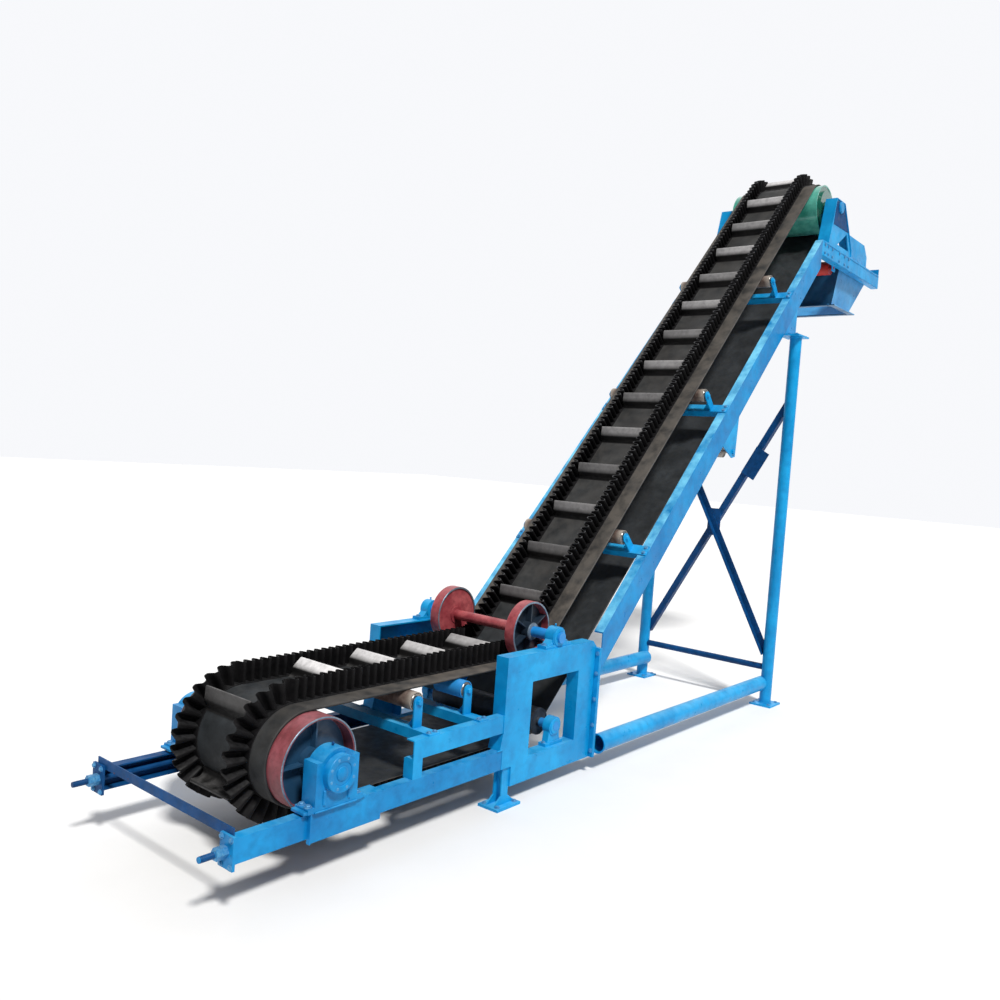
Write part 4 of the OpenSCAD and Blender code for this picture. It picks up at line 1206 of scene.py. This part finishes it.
@dataclass
class Bend(Assembly):
    """Bearings' bolts and covers, flanges of the side frames and the wheels' lips."""

    press_block_y: float = 471.0
    bend_block_y: float = 462.0
    post_x: float = 1925.0
    foot: tuple = (1164.0, 474.0)
    wheel_faces: tuple = ((310.0, 1), (250.0, -1))
    hub_y: float = 318.0

    def build(self) -> None:
        """Adds the small parts at the bend."""
        bolts, covers, plates, beads = [], [], [], []
        press, press_z = self.datum.centre("press_wheels")
        bend, _ = self.datum.centre("bend_drum")
        for s in (-1, 1):
            bolts.append(placed(bolt(12.5), [(press + d, s * self.press_block_y, 798)
                                             for d in (-100, 100)], (0, 0, 1)))
            bolts.append(placed(bolt(9.5), [(bend + d, s * self.bend_block_y, 248)
                                            for d in (-68, 68)], (0, 0, 1)))
            covers.append(self.ring("press_wheels", s * 500, [
                [31, 0], [50, 0], [48, 5], [40, 8], [31, 8]], s, 32))
            covers.append(self.ring("bend_drum", s * 486, [
                [26, 0], [44, 0], [42, 5], [35, 7], [26, 7]], s, 32))
            nipple = round_part([[0, 0], [4, 0], [4, 7], [6, 8], [6, 13], [0, 16]], 8)
            covers.append(placed(nipple, [(press, s * self.press_block_y, press_z + 56)],
                                 (0, 0, 1)))
            # bolted flanges where the side frame meets the foot post
            for way in (-1, 1):
                x = self.post_x + way * 5.2
                plates.append(bar((x, s * 527, 102), (x, s * 527, 738), 10, 30,
                                  (1, 0, 0), 1.5))
                bolts.append(placed(bolt(9.5), [
                    (self.post_x + way * 10.4, s * 528, h)
                    for h in (140, 290, 440, 590, 705)], (way, 0, 0)))
            # welds along the frame's corners and the front foot's bolts
            beads.append(bead([(1068, s * 513, 308), (1112, s * 513, 308)]))
            beads.append(bead([(1110, s * 511, 396), (1110, s * 511, 484)]))
            beads.append(bead([(1137, s * 503, 204), (1190, s * 503, 204)]))
            foot_x, foot_y = self.foot
            bolts.append(placed(bolt(11.0), [
                (foot_x + dx, s * (foot_y + dy), 14) for dx in (-70, 70)
                for dy in (-42, 42)], (0, 0, 1)))
        self.piece("bend_fasteners", bolts, self.finishes.zinc)
        self.piece("bend_bearing_covers", covers, self.finishes.blue)
        self.piece("bend_flanges", plates, self.finishes.blue)
        self.piece("bend_welds", beads, self.finishes.blue)
        # pale rings on the wheels' faces and hubs, partly a painted highlight on the rims
        lips = []
        for s in (-1, 1):
            for y, way in self.wheel_faces:
                lips.append(self.ring("press_wheels", s * (y + way * SEAT), [
                    [153.5, 0], [164, 0], [164, 1], [162.5, 2.5], [155, 2.5],
                    [153.5, 1]], s * way, 72))
            lips.append(self.ring("press_wheels", s * (self.hub_y + SEAT), [
                [30.5, 0], [48, 0], [46, 5], [38, 8], [30.5, 8]], s, 32))
        self.piece("press_wheel_lips", lips, self.finishes.lip, "press_wheels")


@dataclass
class Legs(Assembly):
    """Anchor bolts, plate bolts and weld rings of the two legs."""

    leg_x: float = 4370.0
    leg_y: float = 555.0
    plate_reach: float = 110.0
    tube: tuple = (1987.0, 522.0, 165.0)

    def build(self) -> None:
        """Adds the small parts of the legs and the floor tubes."""
        bolts, beads = [], []
        x, top = self.leg_x, self.plate_top()
        tube_x, tube_y, tube_z = self.tube
        angle = np.linspace(0, 2 * math.pi, 33)
        out = np.stack([np.cos(angle), np.sin(angle)])
        for s in (-1, 1):
            y = s * self.leg_y
            bolts.append(placed(bolt(11.0), [
                (x + dx, y + s * dy, 14) for dx in (-72, 72) for dy in (-58, 58)],
                (0, 0, 1)))
            bolts.append(placed(bolt(10.0), [
                (x + dx, s * plate_y, top) for dx in (-88, 88) for plate_y in (592, 536)],
                (0, 0, 1)))
            for z in (17.0, top - 15.0):
                beads.append(bead(np.stack([x + 46 * out[0], y + 46 * out[1],
                                            np.full(33, z)], -1).tolist(), 4.5))
            beads.append(bead(np.stack([np.full(33, tube_x), s * tube_y + 55 * out[0],
                                        tube_z + 55 * out[1]], -1).tolist(), 4.5))
        self.piece("leg_fasteners", bolts, self.finishes.zinc)
        self.piece("leg_welds", beads, self.finishes.blue)

    def plate_top(self) -> float:
        """Gives the height of the plate on a leg, under the sloping rail."""
        return (rail_top(self.leg_x - self.plate_reach)
                - RAIL_DEPTH / math.cos(RAIL_ANGLE) - 8.0)


@dataclass
class Head(Assembly):
    """Shaft keepers, splice bolts, bracket edges and hopper bolts at the head."""

    arm_height: float = 120.0
    tie_rise: float = 60.0
    hopper_x: tuple = (260.0, 700.0)
    hopper_y: float = 407.0
    plate_y: float = 510.0

    def build(self) -> None:
        """Adds the small parts at the head and on the hopper."""
        bolts, keepers, ribs, beads, shade_panels = [], [], [], [], []
        x, z = self.datum.centre("head_drum")
        arm = self.datum.heights("arm_tie")[1] - self.tie_rise - self.arm_height
        low, top = arm + self.arm_height, z + 55
        start, end = self.hopper_x
        for s in (-1, 1):
            keepers.append(self.ring("head_drum", s * (self.plate_y + SEAT), [
                [0, 12.4], [33.5, 12.4], [33.5, 0], [47, 0], [47, 8], [40, 16],
                [0, 16]], s))
            bolts.append(placed(bolt(10.5), [
                (x + dx, s * self.plate_y, arm + h)
                for dx in (-280, -205, -110, 60, 190, 290) for h in (28, 92)],
                (0, s, 0)))
            bolts.append(placed(bolt(9.0), [
                (x + dx, s * 486, low + 18) for dx in (370, 480, 590, 700, 800)],
                (0, s, 0)))
            ribs.append(bar((x + 340, s * 489, low + 1.5), (x + 822, s * 489, low + 1.5),
                            6, 40, (0, 1, 0), 1.5))
            for h in (arm + 112, arm + 8):
                ribs.append(bar((x - 300, s * 512.5, h), (x + 1120, s * 512.5, h),
                                5, 12, (0, 1, 0), 1.5))
            # a dark sheet as painted shade on the field of the bracket's outer plate,
            # and its flanged edges
            edge = [(x - 222, low + 4), (x - 113, top - 3), (x + 82, top - 3),
                    (x + 231, low + 188), (x + 326, low + 49), (x + 326, low + 4)]
            panel = np.array([(x - 134, low + 176), (x + 219, low + 184),
                              (x + 76, z + 36), (x + 44, z + 36), (x + 44, z - 44),
                              (x - 44, z - 44), (x - 44, z + 36), (x - 101, z + 36)])
            ends = np.array([[0.0, s * (self.plate_y + rise), 0.0]
                             for rise in (SEAT, 2.0)])
            shade_panels.append(carried(panel, ends, np.tile([1.0, 0.0, 0.0], (2, 1)),
                                  np.tile([0.0, 0.0, 1.0], (2, 1)), False))
            y = s * (self.plate_y + 4.0 + SEAT)
            for (x1, z1), (x2, z2) in zip(edge, edge[1:]):
                ribs.append(bar((x1, y, z1), (x2, y, z2), 8, 8, (0, 1, 0), 1.5))
            bolts.append(placed(bolt(10.0), [(x + 1105, s * y, arm + 126)
                                             for y in (490, 462)], (0, 0, 1)))
            weld = (s * self.hopper_y, arm - 299)
            beads.append(bead([(x + start + 2, *weld), (x + end, *weld)]))
        flange = self.datum.heights("hopper")[0] + 8.3
        for px in (x + start - 22, x + end + 22):
            bolts.append(placed(bolt(10.0), [(px, y, flange) for y in (-384, 0, 384)],
                                (0, 0, 1)))
        self.piece("head_fasteners", bolts, self.finishes.zinc)
        self.piece("head_shaft_keepers", keepers, self.finishes.blue)
        self.piece("head_ribs", ribs, self.finishes.blue)
        self.piece("hopper_welds", beads, self.finishes.blue)
        self.piece("head_bracket_painted_shade", shade_panels, self.finishes.navy_shade)


# Studio.
@dataclass
class Studio:
    """Pale floor, soft light and a camera at the photograph's viewing angle."""

    datum: Datum
    camera_at: tuple[float, float, float] = (-2450.0, -3269.0, 1790.0)
    yaw_deg: float = 50.955
    pitch_deg: float = 2.822
    roll_deg: float = 4.055
    focal_px: float = 900.8
    image_px: float = 1000.0
    centre_row_px: float = 501.3
    dim_sky: float = 0.2
    white_sky: float = 0.97
    lamp_from: tuple[float, float, float] = (-0.28, -0.52, 0.81)
    lamp_strength: float = 3.5
    lamp_soft_deg: float = 9.0
    floor_reach: float = 45.0
    floor_points: int = 9

    def camera(self) -> None:
        """Places the camera.

        Forward is (sin yaw cos pitch, cos yaw cos pitch, -sin pitch); right is
        level and square to it, and both right and up then turn by the roll.
        """
        yaw, pitch, roll = (math.radians(a) for a in
                            (self.yaw_deg, self.pitch_deg, self.roll_deg))
        ahead = np.array([math.sin(yaw) * math.cos(pitch),
                          math.cos(yaw) * math.cos(pitch), -math.sin(pitch)])
        right = np.array([math.cos(yaw), -math.sin(yaw), 0.0])
        up = np.cross(right, ahead)
        right_r = right * math.cos(roll) + up * math.sin(roll)
        up_r = -right * math.sin(roll) + up * math.cos(roll)
        data = bpy.data.cameras.new("camera")
        data.sensor_width = 36.0
        data.lens = data.sensor_width * self.focal_px / self.image_px
        data.shift_y = (self.centre_row_px - self.image_px / 2) / self.image_px
        data.clip_end = 200.0
        camera = bpy.data.objects.new("camera", data)
        bpy.context.scene.collection.objects.link(camera)
        turn = np.eye(4)
        turn[:3, 0], turn[:3, 1], turn[:3, 2] = right_r, up_r, -ahead
        turn[:3, 3] = self.datum.place(np.array(self.camera_at))
        camera.matrix_world = Matrix(turn.tolist())
        bpy.context.scene.camera = camera

    def lamp(self) -> None:
        """Adds a far, soft light whose rays come from the lamp's direction."""
        data = bpy.data.lights.new("key_light", "SUN")
        data.energy, data.angle = self.lamp_strength, math.radians(self.lamp_soft_deg)
        data.color = linear("#FFFDF8")[:3]
        lamp = bpy.data.objects.new("key_light", data)
        bpy.context.scene.collection.objects.link(lamp)
        lamp.rotation_euler = Vector(self.lamp_from).to_track_quat("Z", "Y").to_euler()

    def sky(self) -> None:
        """Paints the sky: white behind the conveyor, dimmer behind the camera.

        The share of white rises smoothly with the cosine between a direction and
        the camera's heading.
        """
        world = bpy.data.worlds.new("studio_sky")
        world.use_nodes = True
        tree = world.node_tree
        tree.nodes.clear()
        yaw = math.radians(self.yaw_deg)
        heading = (math.sin(yaw), math.cos(yaw), 0.25)
        seen = add(tree, "TexCoord").outputs["Generated"]
        cosine = add(tree, "VectorMath", {1: heading}, {0: seen},
                     operation="DOT_PRODUCT").outputs["Value"]
        share = add(tree, "MapRange", {1: 0.1, 2: 0.7}, {0: cosine}, clamp=True,
                    interpolation_type="SMOOTHSTEP").outputs[0]
        strength = add(tree, "MapRange", {3: self.dim_sky, 4: self.white_sky},
                       {0: share}, clamp=True).outputs[0]
        shade = add(tree, "Background", {"Color": linear("#FBFCFF")},
                    {"Strength": strength})
        add(tree, "OutputWorld", links={"Surface": shade.outputs[0]})
        bpy.context.scene.world = world

    def floor(self) -> None:
        """Lays the pale floor, a flat square grid."""
        count = self.floor_points
        side = np.linspace(-self.floor_reach, self.floor_reach, count)
        x, y = np.meshgrid(side, side, indexing="ij")
        verts = np.stack([x, y, np.zeros_like(x)], -1).reshape(-1, 3)
        mesh = bpy.data.meshes.new("studio_floor")
        mesh.from_pydata(verts.tolist(), [], grid_faces(count, count, False, False))
        mesh.flip_normals()
        # Matt white floor paint with faint unevenness.
        mesh.materials.append(Finish("matt_floor_paint", "#E8E8E9", "#ECECED", "#E4E4E5",
                                     "#F2F2F2", roughness=0.9, rough_spread=0.05,
                                     blotch_mm=2500.0, grain_mm=20.0, bump_mm=0.2,
                                     top_dust_highlight=0.1, specular=0.2).material())
        floor = bpy.data.objects.new("studio_floor", mesh)
        bpy.context.scene.collection.objects.link(floor)

    def build(self) -> None:
        """Sets camera, floor, sky and lights."""
        self.camera()
        self.floor()
        self.sky()
        bpy.context.scene.view_settings.view_transform = "Standard"
        self.lamp()


def main() -> None:
    """Builds the conveyor's looks round the CAD frame, sub-assembly by sub-assembly."""
    logging.basicConfig(level=logging.INFO, format="%(name)s: %(message)s")
    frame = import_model()
    datum = Datum.from_frame()
    finishes = Finishes()
    details = [kind(datum, finishes) for kind in (Tail, Rollers, Bend, Legs, Head)]
    for part in (Steelwork(frame, finishes), Belt(datum, finishes), *details,
                 Studio(datum)):
        part.build()
    bpy.context.view_layer.update()


if __name__ == "__main__":
    main()
